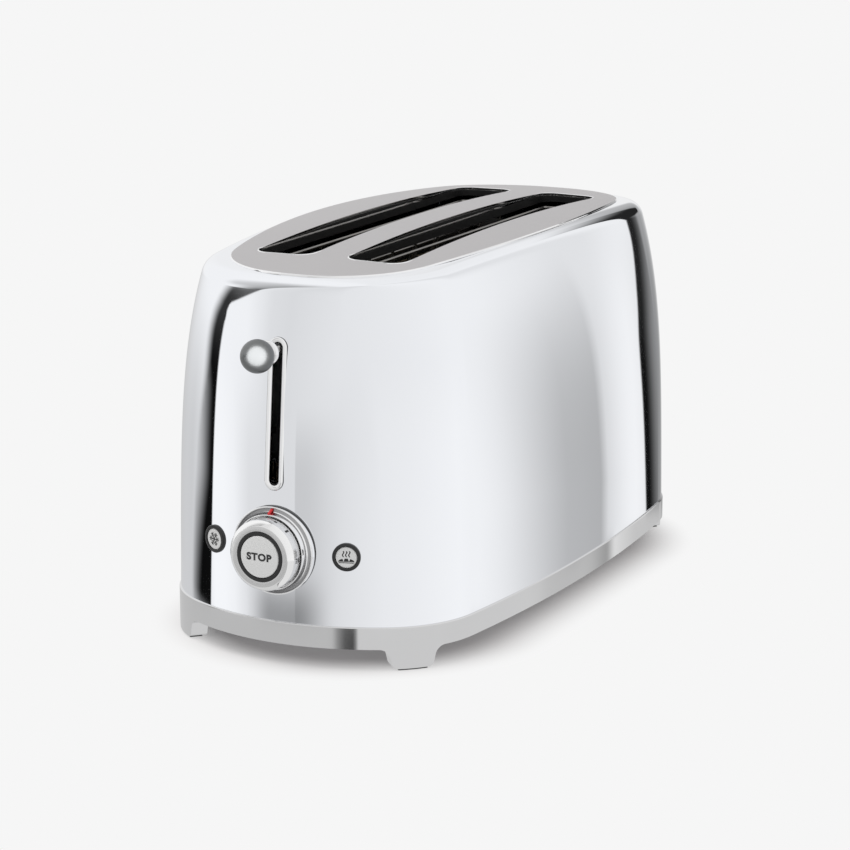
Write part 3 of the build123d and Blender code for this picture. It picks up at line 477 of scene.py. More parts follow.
def outline_point(outline, heading):
    """The point of the outline whose outward normal has this heading."""
    half_width, half_length, side, end, corner = outline
    x, y = corner_middle(outline)
    to_corner = atan2(y, x - half_width + side)
    to_end = atan2(y - half_length + end, x)
    east, north = cos(heading), sin(heading)
    folded = atan2(abs(north), abs(east))
    if folded <= to_corner:
        place = (half_width - side + side * cos(folded), side * sin(folded))
    elif folded <= to_end:
        place = (x + corner * cos(folded), y + corner * sin(folded))
    else:
        place = (end * cos(folded), half_length - end + end * sin(folded))
    return copysign(place[0], east), copysign(place[1], north)


def front_face(x, height):
    """How far in front of the middle the control end lies, at a place on it."""
    _, half_length, _, end, _ = wall_outline(height)
    return half_length - end + sqrt(end**2 - x**2)


DIAL_HEIGHT = 62.4
print("control end:", round(front_face(0.0, DIAL_HEIGHT), 2), "mm in front of the middle")

# %% [markdown]
# ## The polished skin
# A mirror shows every facet, so the CAD mesh is too coarse, and a subdivided box only comes near
# the real curve. So the skin gets exact rows and normals. Each column starts at the base ring,
# climbs the leaning wall, and rolls over on a ball that touches both the wall and the crowned top.
# Loops of one vertex count are laid on the rows and bridged, which keeps the mesh all quads.


# %% One column of the skin
def wall_place(heading, height):
    x, y = outline_point(wall_outline(height), heading)
    return Vector((x, y, height))


def wall_normal(heading, height):
    outward = Vector((cos(heading), sin(heading), 0.0))
    above, below = wall_place(heading, height + 0.05), wall_place(heading, height - 0.05)
    lean = (above - below).dot(outward) / 0.1
    return (outward - Vector((0.0, 0.0, lean))).normalized()


CROWN_MIDDLE = Vector((0.0, 0.0, CROWN_HEIGHT - CROWN_RADIUS))
WALL_ROWS = 80
ROLL_ROWS = 26
LOWEST_ROLL = 130.0
HIGHEST_ROLL = 211.5
HALVINGS = 40
CROWDING = 1.5


def skin_column(heading):
    """Places and normals from the ring, up the wall and over the roll to the crown."""
    below, above = LOWEST_ROLL, HIGHEST_ROLL
    for _ in range(HALVINGS):
        leave = (below + above) / 2.0
        ball = wall_place(heading, leave) - ROLL_RADIUS * wall_normal(heading, leave)
        if (ball - CROWN_MIDDLE).length > CROWN_RADIUS - ROLL_RADIUS:
            above = leave
        else:
            below = leave
    rows = []
    for step in range(WALL_ROWS):
        left = 1.0 - step / (WALL_ROWS - 1)
        height = leave - (leave - RING_TOP) * left**CROWDING
        rows.append((wall_place(heading, height), wall_normal(heading, height)))
    first_normal = wall_normal(heading, leave)
    last_normal = (ball - CROWN_MIDDLE).normalized()
    for step in range(1, ROLL_ROWS + 1):
        normal = first_normal.slerp(last_normal, step / ROLL_ROWS)
        rows.append((ball + ROLL_RADIUS * normal, normal))
    return rows


# %% Headings round the oval
SIDE_COLUMNS = 16
CORNER_COLUMNS = 36
END_COLUMNS = 20


def evenly(first, last, count):
    return [first + (last - first) * step / count for step in range(count)]


middle_outline = wall_outline(80.0)
turn_x, turn_y = corner_middle(middle_outline)
side_end = atan2(turn_y, turn_x - middle_outline[0] + middle_outline[2])
corner_end = atan2(turn_y - middle_outline[1] + middle_outline[3], turn_x)
quarter = evenly(0.0, side_end, SIDE_COLUMNS) + evenly(side_end, corner_end, CORNER_COLUMNS)
quarter += evenly(corner_end, pi / 2.0, END_COLUMNS)
headings = quarter + [pi / 2.0] + [pi - angle for angle in quarter[:0:-1]]
headings += [pi + angle for angle in headings]
columns = [skin_column(heading) for heading in headings]
print(len(headings), "columns of", len(columns[0]), "rows")

# %% [markdown]
# ## Loops, bridges and holes
# The last row lies under the top plate. Then the skin is cut where the controls go through it. A
# Boolean would leave long thin faces that spoil the mirror, so a plane cuts only a few faces, and
# every cut edge hides below a border, a ring or the bezel.

# %% Lay and bridge the rows
# half width, half length and the radii of the side, end and corner arcs
PLATE_OUTLINE = (73.1, 166.6, 547.0, 288.0, 55.7)
PLATE_OVERLAP = 8.0


def crown_at(x, y):
    return CROWN_HEIGHT - CROWN_RADIUS + sqrt(CROWN_RADIUS**2 - x * x - y * y)


def face_outward(work):
    bmesh.ops.recalc_face_normals(work, faces=work.faces)


def loop_edges(ring):
    """The edges that join the vertices of a ring."""
    return list({e for v in ring for e in v.link_edges if e.other_vert(v) in ring})


opening = tuple(value - PLATE_OVERLAP for value in PLATE_OUTLINE)
for heading, column in zip(headings, columns):
    x, y = outline_point(opening, heading)
    place = Vector((x, y, crown_at(x, y)))
    column.append((place, (place - CROWN_MIDDLE).normalized()))

skin = bmesh.new()
lie = skin.verts.layers.float_vector.new("lie")
previous = None
for row in range(len(columns[0])):
    made = bmesh.ops.create_circle(skin, segments=len(headings), radius=1.0)["verts"]
    for vertex, column in zip(made, columns):
        vertex.co = column[row][0] * MM
        vertex[lie] = column[row][1]
    loop = loop_edges(made)
    if previous:
        bmesh.ops.bridge_loops(skin, edges=previous + loop)
    previous = loop
print("skin has", len(skin.faces), "faces")


# %% Where the controls sit
def panel_frame(x, height):
    """The plane that lies on the control end at a place: its Z axis points out of the body."""
    swing = asin(x / wall_outline(height)[3])
    return Matrix((
        (cos(swing), 0.0, sin(swing), x * MM),
        (sin(swing), 0.0, -cos(swing), -front_face(x, height) * MM),
        (0.0, 1.0, 0.0, height * MM),
        (0.0, 0.0, 0.0, 1.0),
    ))


BUTTON_SIDE = 39.8
BUTTON_HEIGHT = 61.9
SLOT_MIDDLE = 135.0
DIAL = panel_frame(0.0, DIAL_HEIGHT)
DEFROST = panel_frame(-BUTTON_SIDE, BUTTON_HEIGHT)
WARMING = panel_frame(BUTTON_SIDE, BUTTON_HEIGHT)
LEVER_SLOT = panel_frame(0.0, SLOT_MIDDLE)
print("buttons", 2.0 * BUTTON_SIDE, "mm apart")


# %% Cut the holes for the controls
def cut_hole(frame_at, reach, sides):
    """Cuts a straight-sided hole: sides are directions in the frame's plane and their distances."""
    inverse = frame_at.inverted()
    turned = frame_at.to_3x3()

    def spot_of(face):
        return inverse @ face.calc_center_median()

    for x, y, distance in sides:
        local = [face for face in skin.faces if spot_of(face).length < reach * MM]
        parts = set(local) | {edge for face in local for edge in face.edges}
        parts |= {vertex for face in local for vertex in face.verts}
        outward = turned @ Vector((x, y, 0.0))
        bmesh.ops.bisect_plane(
            skin, geom=list(parts), dist=1e-7,
            plane_co=frame_at.translation + outward * distance * MM, plane_no=outward,
        )
    within = []
    for face in skin.faces:
        spot = spot_of(face)
        inside = all(spot.x * x + spot.y * y < distance * MM for x, y, distance in sides)
        if inside and abs(spot.z) < 12.0 * MM:
            within.append(face)
    bmesh.ops.delete(skin, geom=within, context="FACES")
    return len(within)


def eight_sides(distance):
    return [(cos(k * pi / 4.0), sin(k * pi / 4.0), distance) for k in range(8)]


slot_sides = [(1, 0, 3.9), (-1, 0, 3.9), (0, 1, 38.5), (0, -1, 38.5)]
lever_hole = cut_hole(LEVER_SLOT, 55.0, slot_sides)
button_holes = [cut_hole(place, 12.0, eight_sides(6.3)) for place in (DEFROST, WARMING)]
dial_hole = cut_hole(DIAL, 26.0, eight_sides(18.5))
print("faces cut away:", lever_hole, button_holes, dial_hole)

# %% [markdown]
# ## Wall thickness and true normals
# An inner wall makes the sheet 1 mm thick. The exact normals kept on the vertices are then set on
# the faces of both walls, and the rims stay crisp.

# %% Thicken the skin
SHEET = 1.0
ALIGNED = 0.8
face_outward(skin)
sample = next(iter(skin.faces))
if sample.normal.dot(sample.verts[0][lie]) < 0.0:
    bmesh.ops.reverse_faces(skin, faces=skin.faces)
bmesh.ops.solidify(skin, geom=skin.faces, thickness=SHEET * MM)
skin.normal_update()
true_normals = []
for face in skin.faces:
    for corner in face.loops:
        kept = corner.vert[lie].normalized()
        match = face.normal.dot(kept)
        if abs(match) > ALIGNED:
            true_normals.append(kept if match > 0.0 else -kept)
        else:
            true_normals.append(Vector())
low_corner = min(vertex.co.z for vertex in skin.verts)
wide = max(vertex.co.x for vertex in skin.verts)
print("skin: half width", round(wide / MM, 2), "mm, from", round(low_corner / MM, 2), "mm up")

# %% [markdown]
# ## Polished steel
# The skin is stainless sheet, polished to a mirror. One roughness all over would look like glass.
# Real polishing leaves a faint haze, so the roughness drifts with a wide noise, and very fine lines
# run round the body.

# %% The mirror finish
steel = finish("polished_steel")
haze = steel.noise(28.0, 3.0)
lines = steel.noise(60.0, 2.0, stretch=(1.0, 1.0, 60.0))
mirror = steel.surface({
    "Base Color": steel.tone(haze, (0.930, 0.946, 0.982), (0.945, 0.960, 0.990)),
    "Metallic": 1.0, "Roughness": 0.018 + 0.02 * haze * lines,
})

# %% Hand over the skin
shell = hand_over("shell_skin", skin, mirror, "housing", ["body_shell"])
shell.data.normals_split_custom_set([tuple(normal) for normal in true_normals])

# %% [markdown]
# ## Turned pieces
# The ball, the bezel, the knob and the button rings are all turned shapes, so each starts as half a
# profile that is spun round its axis. The points where the spin closes are merged, and the sharp
# edges get a small rounding that catches the light.


# %% Spin a profile
def round_off(work, edges, radius, segments=3, clamp=False):
    bmesh.ops.bevel(
        work, geom=edges, offset=radius * MM, segments=segments, affect="EDGES", profile=0.5,
        material=-1, clamp_overlap=clamp,
    )


def turned_piece(profile, place, rounding, steps=96):
    """Spins radius and height pairs, in millimetres, round the Z axis of a frame."""
    work = bmesh.new()
    points = [work.verts.new((radius * MM, 0.0, height * MM)) for radius, height in profile]
    edges = [work.edges.new(pair) for pair in zip(points, points[1:])]
    if profile[0][0] > 0.0:
        edges.append(work.edges.new((points[-1], points[0])))
    bmesh.ops.spin(
        work, geom=points + edges, cent=(0.0, 0.0, 0.0), axis=(0.0, 0.0, 1.0), angle=2.0 * pi,
        steps=steps, use_merge=True,
    )
    bmesh.ops.remove_doubles(work, verts=work.verts, dist=1e-6)
    face_outward(work)
    if rounding:
        folds = [edge for edge in work.edges if edge.is_manifold]
        sharp = [edge for edge in folds if edge.calc_face_angle() > radians(25.0)]
        round_off(work, sharp, rounding, clamp=True)
    bmesh.ops.transform(work, matrix=place, verts=work.verts)
    face_outward(work)
    return work


def arc(middle, radius, first, last, count):
    """Points of an arc in a profile, by its centre, radius and angles in degrees."""
    angles = [radians(first + (last - first) * k / count) for k in range(count + 1)]
    return [(middle[0] + radius * cos(angle), middle[1] + radius * sin(angle)) for angle in angles]


# %% [markdown]
# ## Lever slot border
# A bright rounded border frames the lever's slot and turns in through the skin. A straight
# extrusion would leave the curved wall, so the border is made of loops that follow it, each of them
# a circle pulled apart at its middle. Its outer foot is painted near black, as the shade where it
# meets the skin.

# %% Lever slot border
SLOT_STRAIGHT = 34.85
SEAM_RADIUS = 5.55
border_profile = [
    (5.6, -0.6), (5.65, 0.35), (5.5, 0.85), (5.1, 1.2), (4.55, 1.38), (4.0, 1.34), (3.45, 1.1),
    (3.0, 0.65), (2.72, 0.0), (2.66, -1.2), (2.65, -5.5), (3.35, -5.5), (3.4, -0.8),
]


def bridge_round(work, loops):
    """Bridges each loop to the next, and the last to the first."""
    for first, second in zip(loops, loops[1:] + loops[:1]):
        bmesh.ops.bridge_loops(work, edges=first + second)


border = bmesh.new()
# the seam layer marks the border's outer foot, where its finish paints shade
seam = border.verts.layers.float.new("seam")
loops = []
for radius, height in border_profile:
    ring = bmesh.ops.create_circle(border, segments=64, radius=radius * MM)["verts"]
    for vertex in ring:
        vertex[seam] = 1.0 if radius > SEAM_RADIUS else 0.0
        x = vertex.co.x / MM
        up_here = vertex.co.y / MM
        z = SLOT_MIDDLE + up_here + (SLOT_STRAIGHT if up_here > 0.0 else -SLOT_STRAIGHT)
        vertex.co = Vector((x, -(front_face(x, z) + height), z)) * MM
    loops.append(loop_edges(ring))
bridge_round(border, loops)
face_outward(border)

# %% Chrome for the trim and the border
bright_trim = grained(
    "chromed_trim", (0.93, 0.93, 0.94), (0.97, 0.97, 0.975), (220.0, 3.0), (0.035, 0.04), metal=1.0
)
trim = finish("lever_border_chrome")
border_haze = trim.noise(240.0, 3.0)
seam_value = trim.node("ShaderNodeAttribute", {"attribute_name": "seam"}, out="Fac")
# the outer foot is painted near black: painted shade where the border meets the skin
border_foot_shade = seam_value.step(0.1, 0.7)
border_chrome_and_shade = trim.surface({
    "Base Color": trim.tone(border_foot_shade, (0.95, 0.95, 0.955), (0.04, 0.04, 0.04)),
    "Metallic": 1.0 - 0.8 * border_foot_shade,
    "Roughness": 0.03 + 0.04 * border_haze + 0.3 * border_foot_shade,
})
hand_over(
    "lever_slot_border", border, border_chrome_and_shade, "housing", ["lever_slot_trim"]
)

# %% [markdown]
# ## Lever ball and collar
# The ball is satin metal: a soft bright middle and a darker rim. Satin comes from a fine grain in
# the roughness and a very low bump. A thin bright collar sits behind it on the stem. The ball's
# highlight comes from a lamp of its own, and light linking keeps it off everything else.

# %% Satin metal
satin_metal = grained(
    "satin_ball_metal", (0.165, 0.170, 0.172), (0.195, 0.200, 0.202), (90.0, 2.0), (0.29, 0.07),
    fine=(2600.0, 3.0), metal=1.0, bump=(0.15, 0.00004),
)

# %% Lever ball
LEVER_HEIGHT = 169.3
BALL_RADIUS = 8.9
BALL_OUT = 21.5
STEM_RADIUS = 3.2
ball_depth = front_face(0.0, LEVER_HEIGHT) + BALL_OUT
ball_place = Vector((0.0, -ball_depth * MM, LEVER_HEIGHT * MM))
ball_frame = Matrix.Translation(ball_place) @ Matrix.Rotation(pi / 2.0, 4, "X")
ball_arc = arc((0.0, 0.0), BALL_RADIUS, 87.0, -64.0, 40)
ball_profile = [(0.0, BALL_RADIUS), *ball_arc, (STEM_RADIUS, -7.4), (0.0, -7.4)]
ball = hand_over(
    "lever_knob_ball", turned_piece(ball_profile, ball_frame, 0.15), satin_metal, "carriage",
    ["lever_ball"],
)
ball.visible_glossy = False

# %% A softbox for the ball
ball_only = bpy.data.collections.new("ball_only")
ball_only.objects.link(ball)
ball_softbox = soft_lamp("ball_softbox", ball_place + 0.32 * back, ball_place, 1.6, 25.0)
ball_softbox.visible_glossy = True
ball_softbox.visible_camera = False
ball_softbox.light_linking.receiver_collection = ball_only

# %% Lever collar
collar_profile = [
    (2.2, -11.5), (6.0, -11.5), (6.5, -11.0), (6.45, -10.2), (5.8, -9.5), (3.6, -9.2),
    (3.5, -7.4), (2.2, -7.4),
]
collar = hand_over(
    "lever_collar_disc", turned_piece(collar_profile, ball_frame, 0.2), bright_trim, "carriage",
    ["lever_collar"],
)
collar.visible_glossy = False
nodes["lever_stem"].visible_glossy = False

# %% [markdown]
# ## Dial bezel
# The bezel is a chromed dish: a bright outer rim, a hollow cove, and a rise to a collar that stands
# round the knob. The cove is a real arc, because its curve shapes the grey band, and its colour is
# darkened with painted shade to deepen that band.

# %% Dial bezel
bezel_profile = (
    [(15.5, -6.0), (16.9, -6.0), (16.9, -0.9), (23.6, -0.9), (23.75, -3.2), (24.0, -3.2)]
    + arc((23.45, 1.25), 0.55, 0.0, 150.0, 6)
    + arc((23.2, 3.3), 2.45, 258.0, 196.0, 8)
    + [(20.55, 4.4), (20.4, 5.3), (20.2, 5.5), (19.85, 5.45), (19.7, 5.2), (19.7, 3.2)]
    + [(15.5, 3.2)]
)
bezel_work = turned_piece(bezel_profile, DIAL, 0.0, steps=128)
print("bezel profile of", len(bezel_profile), "points")

# %% [markdown]
# ## Marks in a plane
# The shader draws printed marks in the plane of the control they sit on. A Mapping node brings
# Object coordinates into that plane, in millimetres, and a few sums make lines and arcs. The bezel
# uses the same plane for its two finishes: the cove is brushed and darkened with painted shade, the
# rim and the collar shine, and a painted dark line stands for the shadow gap at its foot.


# %% Plane coordinates for printed marks
def plane_coordinates(paint, place):
    """Across, up and out of a plane, in millimetres."""
    return paint.parts(paint.node("ShaderNodeMapping", {"vector_type": "TEXTURE"}, {
        "Vector": paint.where(), "Location": place.translation, "Rotation": place.to_euler(),
        "Scale": (MM, MM, MM),
    }))


def reach(across, upward):
    """Distance from the middle of the plane."""
    return (across * across + upward * upward).maths("SQRT")


def stroke(distance, half_width, soft=0.06):
    """1 where the distance from a line is under half its width."""
    return distance.step(half_width + soft, half_width - soft)


def between(value, low, high, soft=0.06):
    return value.step(low - soft, low + soft) * value.step(high + soft, high - soft)


# %% Bezel finish
bezel = finish("bezel_chrome_and_shade")
bezel_across, bezel_up, bezel_out = plane_coordinates(bezel, DIAL)
bezel_reach = reach(bezel_across, bezel_up)
bezel_haze = bezel.noise(260.0, 3.0)
cove = between(bezel_reach, 21.35, 23.25, 0.12)
# a dark line painted at the foot stands for the shadow gap under the rim; the wall is round, so its
# height is measured from the wall's curve
foot_height = bezel_out + bezel_across * bezel_across / 240.0
gap_shade_line = foot_height.step(1.5, 1.35) * bezel_reach.step(23.5, 23.65)
# the cove's darker grey colour is painted shade, added to its real brushing
bezel_tone_with_cove_shade = bezel.tone(cove, (0.95, 0.95, 0.955), (0.42, 0.42, 0.425))
bezel_chrome_and_shade = bezel.surface({
    "Base Color": bezel.tone(gap_shade_line, bezel_tone_with_cove_shade, (0.02, 0.02, 0.02)),
    "Metallic": 1.0 - 0.9 * gap_shade_line,
    "Roughness": 0.04 + 0.03 * bezel_haze + 0.26 * cove + 0.3 * gap_shade_line,
})
hand_over("dial_bezel_dish", bezel_work, bezel_chrome_and_shade, "housing", ["dial_bezel"])


# %% [markdown]
# ## Browning knob
# The knob is a light satin drum with a bevelled front edge. Dark marks on its side read against the
# red pointer: a dot, then strokes for the browning levels, and a small sign for warming up again.
# Cut marks would need a very dense drum, so they are printed, as on the real knob.

# %% Marks on the knob
knob = finish("knob_satin")
across, upward, outward = plane_coordinates(knob, DIAL)
knob_angle = upward.maths("ARCTAN2", across) * degrees(1.0)
knob_reach = reach(across, upward)
SIDE_RADIUS = 19.2


def knob_stroke(angle, low, high, half_angle):
    """A stroke on the drum: its angle, the depths it lies between and half its width."""
    return stroke(abs(knob_angle - angle), half_angle, 0.35) * between(outward, low, high, 0.12)


ink = knob_stroke(71.0, 8.0, 9.5, 2.8)
for stroke_angle in (47.0, 157.0, 132.0, 107.0, -132.0, -157.0):
    ink = ink | knob_stroke(stroke_angle, 7.4, 10.6, 1.9)
# the warming sign: three short waves over a flat roll
sign_across = (knob_angle + 3.5) * (SIDE_RADIUS * pi / 180.0)
sign_up = outward - 8.6
wave = sign_across + 0.22 * (sign_up * 3.4).maths("SINE")
for place in (-1.0, 0.0, 1.0):
    ink = ink | stroke(abs(wave - place), 0.3) * between(sign_up, -0.2, 2.2)
roll = (sign_across * sign_across * 0.22 + (sign_up + 1.2) * (sign_up + 1.2)).maths("SQRT")
ink = ink | stroke(roll, 0.75) * sign_up.step(-1.75, -1.6)
ink = ink * knob_reach.step(18.4, 18.8)

# %% Knob finish
knob_grain = knob.noise(1800.0, 2.0)
knob_bevel = outward.step(12.3, 12.5) * knob_reach.step(16.3, 16.5)
knob_face = outward.step(14.8, 14.95) * knob_reach.step(16.5, 16.3)
knob_tone = knob.tone(knob_bevel, (0.84, 0.84, 0.84), (0.97, 0.97, 0.97))
knob_tone = knob.tone(knob_face, knob_tone, (0.72, 0.72, 0.72))
knob_metal = knob.surface({
    "Base Color": knob.tone(ink, knob_tone, (0.03, 0.03, 0.03)),
    "Metallic": 1.0 - 0.9 * ink,
    "Roughness": 0.20 + 0.08 * knob_grain + 0.2 * ink - 0.15 * knob_bevel,
}, bump=(knob_grain, 0.12, 0.00003))

# %% Knob
knob_profile = [
    (4.3, -12.8), (6.4, -12.8), (6.4, 6.9), (17.3, 6.9), (17.3, 4.6), (19.0, 4.6), (19.2, 4.9),
    (SIDE_RADIUS, 12.2), (18.95, 12.75), (16.95, 14.75), (16.4, 15.0), (13.75, 15.0),
    (13.62, 14.85), (13.62, 9.05), (4.3, 9.05),
]
hand_over(
    "knob_drum", turned_piece(knob_profile, DIAL, 0.12, steps=144), knob_metal, "browning_dial",
    ["browning_knob"],
)

# %% [markdown]
# ## Stop ring, stop button and lettering
# A glossy black ring parts the knob from the stop button, which is a light satin disc. The word is
# raised by a hair in a plain font, and made a mesh before it is placed, because a shader would need
# a long sum for every letter.

# %% Black moulded rings
black_plastic = grained(
    "black_moulding", (0.010, 0.010, 0.0105), (0.017, 0.017, 0.0175), (1500.0, 2.0), (0.26, 0.1),
    bump=(0.1, 0.00004),
)
stop_ring_profile = [
    (11.62, 9.2), (13.5, 9.2), (13.5, 15.05), (13.2, 15.23), (11.9, 15.23), (11.62, 15.0),
]
hand_over(
    "stop_ring_black", turned_piece(stop_ring_profile, DIAL, 0.08, steps=128), black_plastic,
    "browning_dial", ["stop_ring"],
)

# %% Light button discs
DRAWING_SCALE = 0.76


def disc_finish(name, place, drawing=None):
    """A light satin disc, with a dark drawing printed on it."""
    paint = finish(name)
    disc_grain = paint.noise(1600.0, 2.0)
    colour = paint.tone(disc_grain, (0.66, 0.66, 0.655), (0.70, 0.70, 0.695))
    if drawing:
        disc_across, disc_up, _ = plane_coordinates(paint, place)
        print_share = drawing(disc_across * DRAWING_SCALE, disc_up * DRAWING_SCALE)
        colour = paint.tone(print_share, colour, (0.02, 0.02, 0.02))
    sockets = {"Base Color": colour, "Roughness": 0.36 + 0.1 * disc_grain, "IOR": 1.46}
    return paint.surface(sockets, bump=(disc_grain, 0.1, 0.00004))


stop_profile = [
    (0.0, -8.7), (4.05, -8.7), (4.05, 11.6), (11.2, 11.6), (11.3, 11.9), (11.3, 14.95),
    (10.9, 15.45), (0.0, 15.5),
]
hand_over(
    "stop_disc", turned_piece(stop_profile, DIAL, 0.1, steps=128),
    disc_finish("stop_disc_white", DIAL), "stop_button", ["stop_button"],
)

# %% Stop lettering
WORD_WIDTH = 15.0
WORD_HEIGHT = 4.2
WORD_LIFT = 15.5
word_curve = bpy.data.curves.new("stop_word", "FONT")
word_curve.body = "STOP"
word_curve.extrude = 0.02
word_curve.offset = 0.05
word_curve.space_character = 1.12
word_source = bpy.data.objects.new("stop_word_source", word_curve)
word_mesh = bpy.data.meshes.new_from_object(word_source)
bpy.data.objects.remove(word_source)
word = bmesh.new()
word.from_mesh(word_mesh)
xs = [vertex.co.x for vertex in word.verts]
ys = [vertex.co.y for vertex in word.verts]
middle = Vector(((max(xs) + min(xs)) / 2.0, (max(ys) + min(ys)) / 2.0, 0.0))
bmesh.ops.translate(word, vec=-middle, verts=word.verts)
fit = Vector((WORD_WIDTH / (max(xs) - min(xs)), WORD_HEIGHT / (max(ys) - min(ys)), 2.0)) * MM
bmesh.ops.scale(word, vec=fit, verts=word.verts)
bmesh.ops.translate(word, vec=(0.0, 0.0, WORD_LIFT * MM), verts=word.verts)
bmesh.ops.transform(word, matrix=DIAL, verts=word.verts)
ink_black = grained(
    "printed_ink", (0.014, 0.014, 0.015), (0.028, 0.028, 0.029), (2000.0, 2.0), (0.4, 0.1)
)
hand_over("stop_lettering", word, ink_black, "stop_button")

# %% [markdown]
# ## Red pointer
# The pointer is a small red bar with round ends, laid on the rise of the bezel at the top. A red
# patch in the bezel's shader would be flat, and a bevelled bar catches a light of its own.

# %% Red pointer
POINTER = (1.5, 5.2, 0.8)
pointer = bmesh.new()
bmesh.ops.create_cube(pointer, size=1.0)
bmesh.ops.scale(pointer, vec=Vector(POINTER) * MM, verts=pointer.verts)
upright = [e for e in pointer.edges if abs(e.verts[0].co.z - e.verts[1].co.z) > 0.5 * MM]
round_off(pointer, upright, 0.7, segments=6)
top_rim = [e for e in pointer.edges if min(v.co.z for v in e.verts) > 0.35 * MM]
round_off(pointer, top_rim, 0.3)
foot = Vector((0.0, 22.7, 0.9))
head = Vector((0.0, 20.6, 5.3))
along = (foot - head).normalized()
lean_axes = Matrix(((1.0, 0.0, 0.0), (0.0, along.y, -along.z), (0.0, along.z, along.y)))
lean_frame = Matrix.Translation((foot + head) / 2.0 * MM) @ lean_axes.to_4x4()
bmesh.ops.transform(pointer, matrix=DIAL @ lean_frame, verts=pointer.verts)
face_outward(pointer)
red_enamel = grained(
    "pointer_red", (0.55, 0.012, 0.018), (0.66, 0.02, 0.025), (1500.0, 2.0), (0.25, 0.1)
)
hand_over("pointer_bar", pointer, red_enamel, "housing", ["pointer_mark"])

# %% [markdown]
# ## Side buttons
# Two light discs sit in black rings. The left one thaws and carries a snowflake, the right one
# warms and carries waves over a roll. A few sums fold or repeat each drawing, so that one arm or
# one wave makes them all.

# %% Snowflake drawing
BARB_LEAN = radians(55.0)


def snowflake(x, y):
    """Six arms folded into one, with two pairs of barbs."""
    radius = reach(x, y)
    sector = (y.maths("ARCTAN2", x) * degrees(1.0) + 390.0).maths("MODULO", 60.0) - 30.0
    along_arm = radius * (sector * radians(1.0)).maths("COSINE")
    off_arm = abs(radius * (sector * radians(1.0)).maths("SINE"))
    drawing = stroke(off_arm, 0.25) * along_arm.step(3.0, 2.88)
    for start in (1.15, 1.95):
        barb = abs((along_arm - start) * sin(BARB_LEAN) - off_arm * cos(BARB_LEAN))
        drawing = drawing | stroke(barb, 0.2) * off_arm.step(0.95, 0.85)
    return drawing


# %% Waves over a roll drawing
def warm_roll(x, y):
    """Three short waves over a notched roll on a flat base."""
    dome = (x * x * 0.17 + (y + 1.75) * (y + 1.75)).maths("SQRT")
    notch = (abs(abs(x) - 1.1) - (y + 1.3) * 0.35).step(0.1, 0.2)
    drawing = stroke(dome, 1.35) * y.step(-1.85, -1.7) * notch
    drawing = drawing | between(y, -2.35, -2.0) * abs(x).step(3.2, 3.0)
    bent = x + 0.26 * ((y - 0.4) * 2.7).maths("SINE")
    for place in (-1.25, 0.0, 1.25):
        drawing = drawing | stroke(abs(bent - place), 0.27) * between(y, 0.15, 2.65)
    return drawing


# %% Buttons and rings
ring_profile = (
    [(5.8, -3.8), (6.85, -3.8), (6.85, -0.9), (7.55, -0.9), (7.6, 0.45)]
    + arc((7.0, 0.55), 0.6, 10.0, 90.0, 5)
    + arc((6.3, 0.8), 0.5, 90.0, 180.0, 5)
)
button_profile = [(0.0, -2.25), (5.72, -2.25), (5.72, 0.55), (5.4, 0.85), (0.0, 0.9)]
for label, place, drawing in (("defrost", DEFROST, snowflake), ("warming", WARMING, warm_roll)):
    hand_over(
        f"{label}_ring_black", turned_piece(ring_profile, place, 0.0), black_plastic, "housing",
        [f"{label}_ring"],
    )
    hand_over(
        f"{label}_disc", turned_piece(button_profile, place, 0.1),
        disc_finish(f"{label}_disc_white", place, drawing), f"{label}_button",
        [f"{label}_button"],
    )

# %% [markdown]
# ## Finishes for the CAD pieces that stay
# The sheet, wire and board pieces have the right shape already. Each takes a finish at the scale
# of the real surface: rolling lines on steel, flakes in mica, the spangle of zinc.

# %% Base ring steel
ring_steel = grained(
    "ring_steel", (0.735, 0.735, 0.74), (0.755, 0.755, 0.76), (40.0, 3.0), (0.035, 0.03),
    fine=(90.0, 2.0, (1.0, 1.0, 45.0)), metal=1.0,
)

# %% Top plate: blasted steel with a polished edge, and painted shade on the slot walls
plate = finish("plate_satin_and_slot_shade")
plate_grain = plate.noise(1400.0, 4.0, rough=0.6)
facing_up = plate.parts(plate.node("ShaderNodeNewGeometry", out="Normal"))[2]
from_middle = plate.vector("DISTANCE", plate.where(), tuple(CROWN_MIDDLE * MM), "Value")
above_crown = from_middle - CROWN_RADIUS * MM
polished_edge = abs(facing_up).step(0.97, 0.9)
# the slot walls below the crown are painted near black: painted shade inside the slots
slot_wall_shade = above_crown.step(-0.1 * MM, -0.5 * MM)
plate_colour = plate.tone(plate.noise(14.0, 2.0), (0.575, 0.56, 0.565), (0.605, 0.59, 0.595))
edge_and_slot_shade_colour = plate.tone(slot_wall_shade, (0.96, 0.96, 0.965), (0.02, 0.02, 0.02))
plate_satin_and_slot_shade = plate.surface({
    "Base Color": plate.tone(polished_edge | slot_wall_shade, plate_colour, edge_and_slot_shade_colour),
    "Metallic": 1.0 - 0.6 * slot_wall_shade,
    "Roughness": (0.42 + 0.1 * plate_grain) * (1.0 - 0.85 * polished_edge) + 0.3 * slot_wall_shade,
}, bump=(plate_grain * (1.0 - polished_edge), 0.12, 0.00004))

# %% Steel wire, and guide wire darkened as painted shade
bright_wire = grained(
    "bright_wire", (0.50, 0.50, 0.51), (0.62, 0.61, 0.59), (18.0, 2.0), (0.18, 0.14),
    fine=(500.0, 2.0, (1.0, 0.15, 1.0)), metal=1.0, bump=(0.15, 0.00005),
)
# the guide wires sit in the dark slots, so their colour is darkened, slightly warm, as painted shade
guide_wire = grained(
    "painted_shade_guide_wire", (0.22, 0.215, 0.21), (0.36, 0.345, 0.325), (30.0, 2.0), (0.22, 0.14),
    fine=(420.0, 2.0, (1.0, 0.2, 1.0)), metal=1.0, bump=(0.15, 0.00005),
)


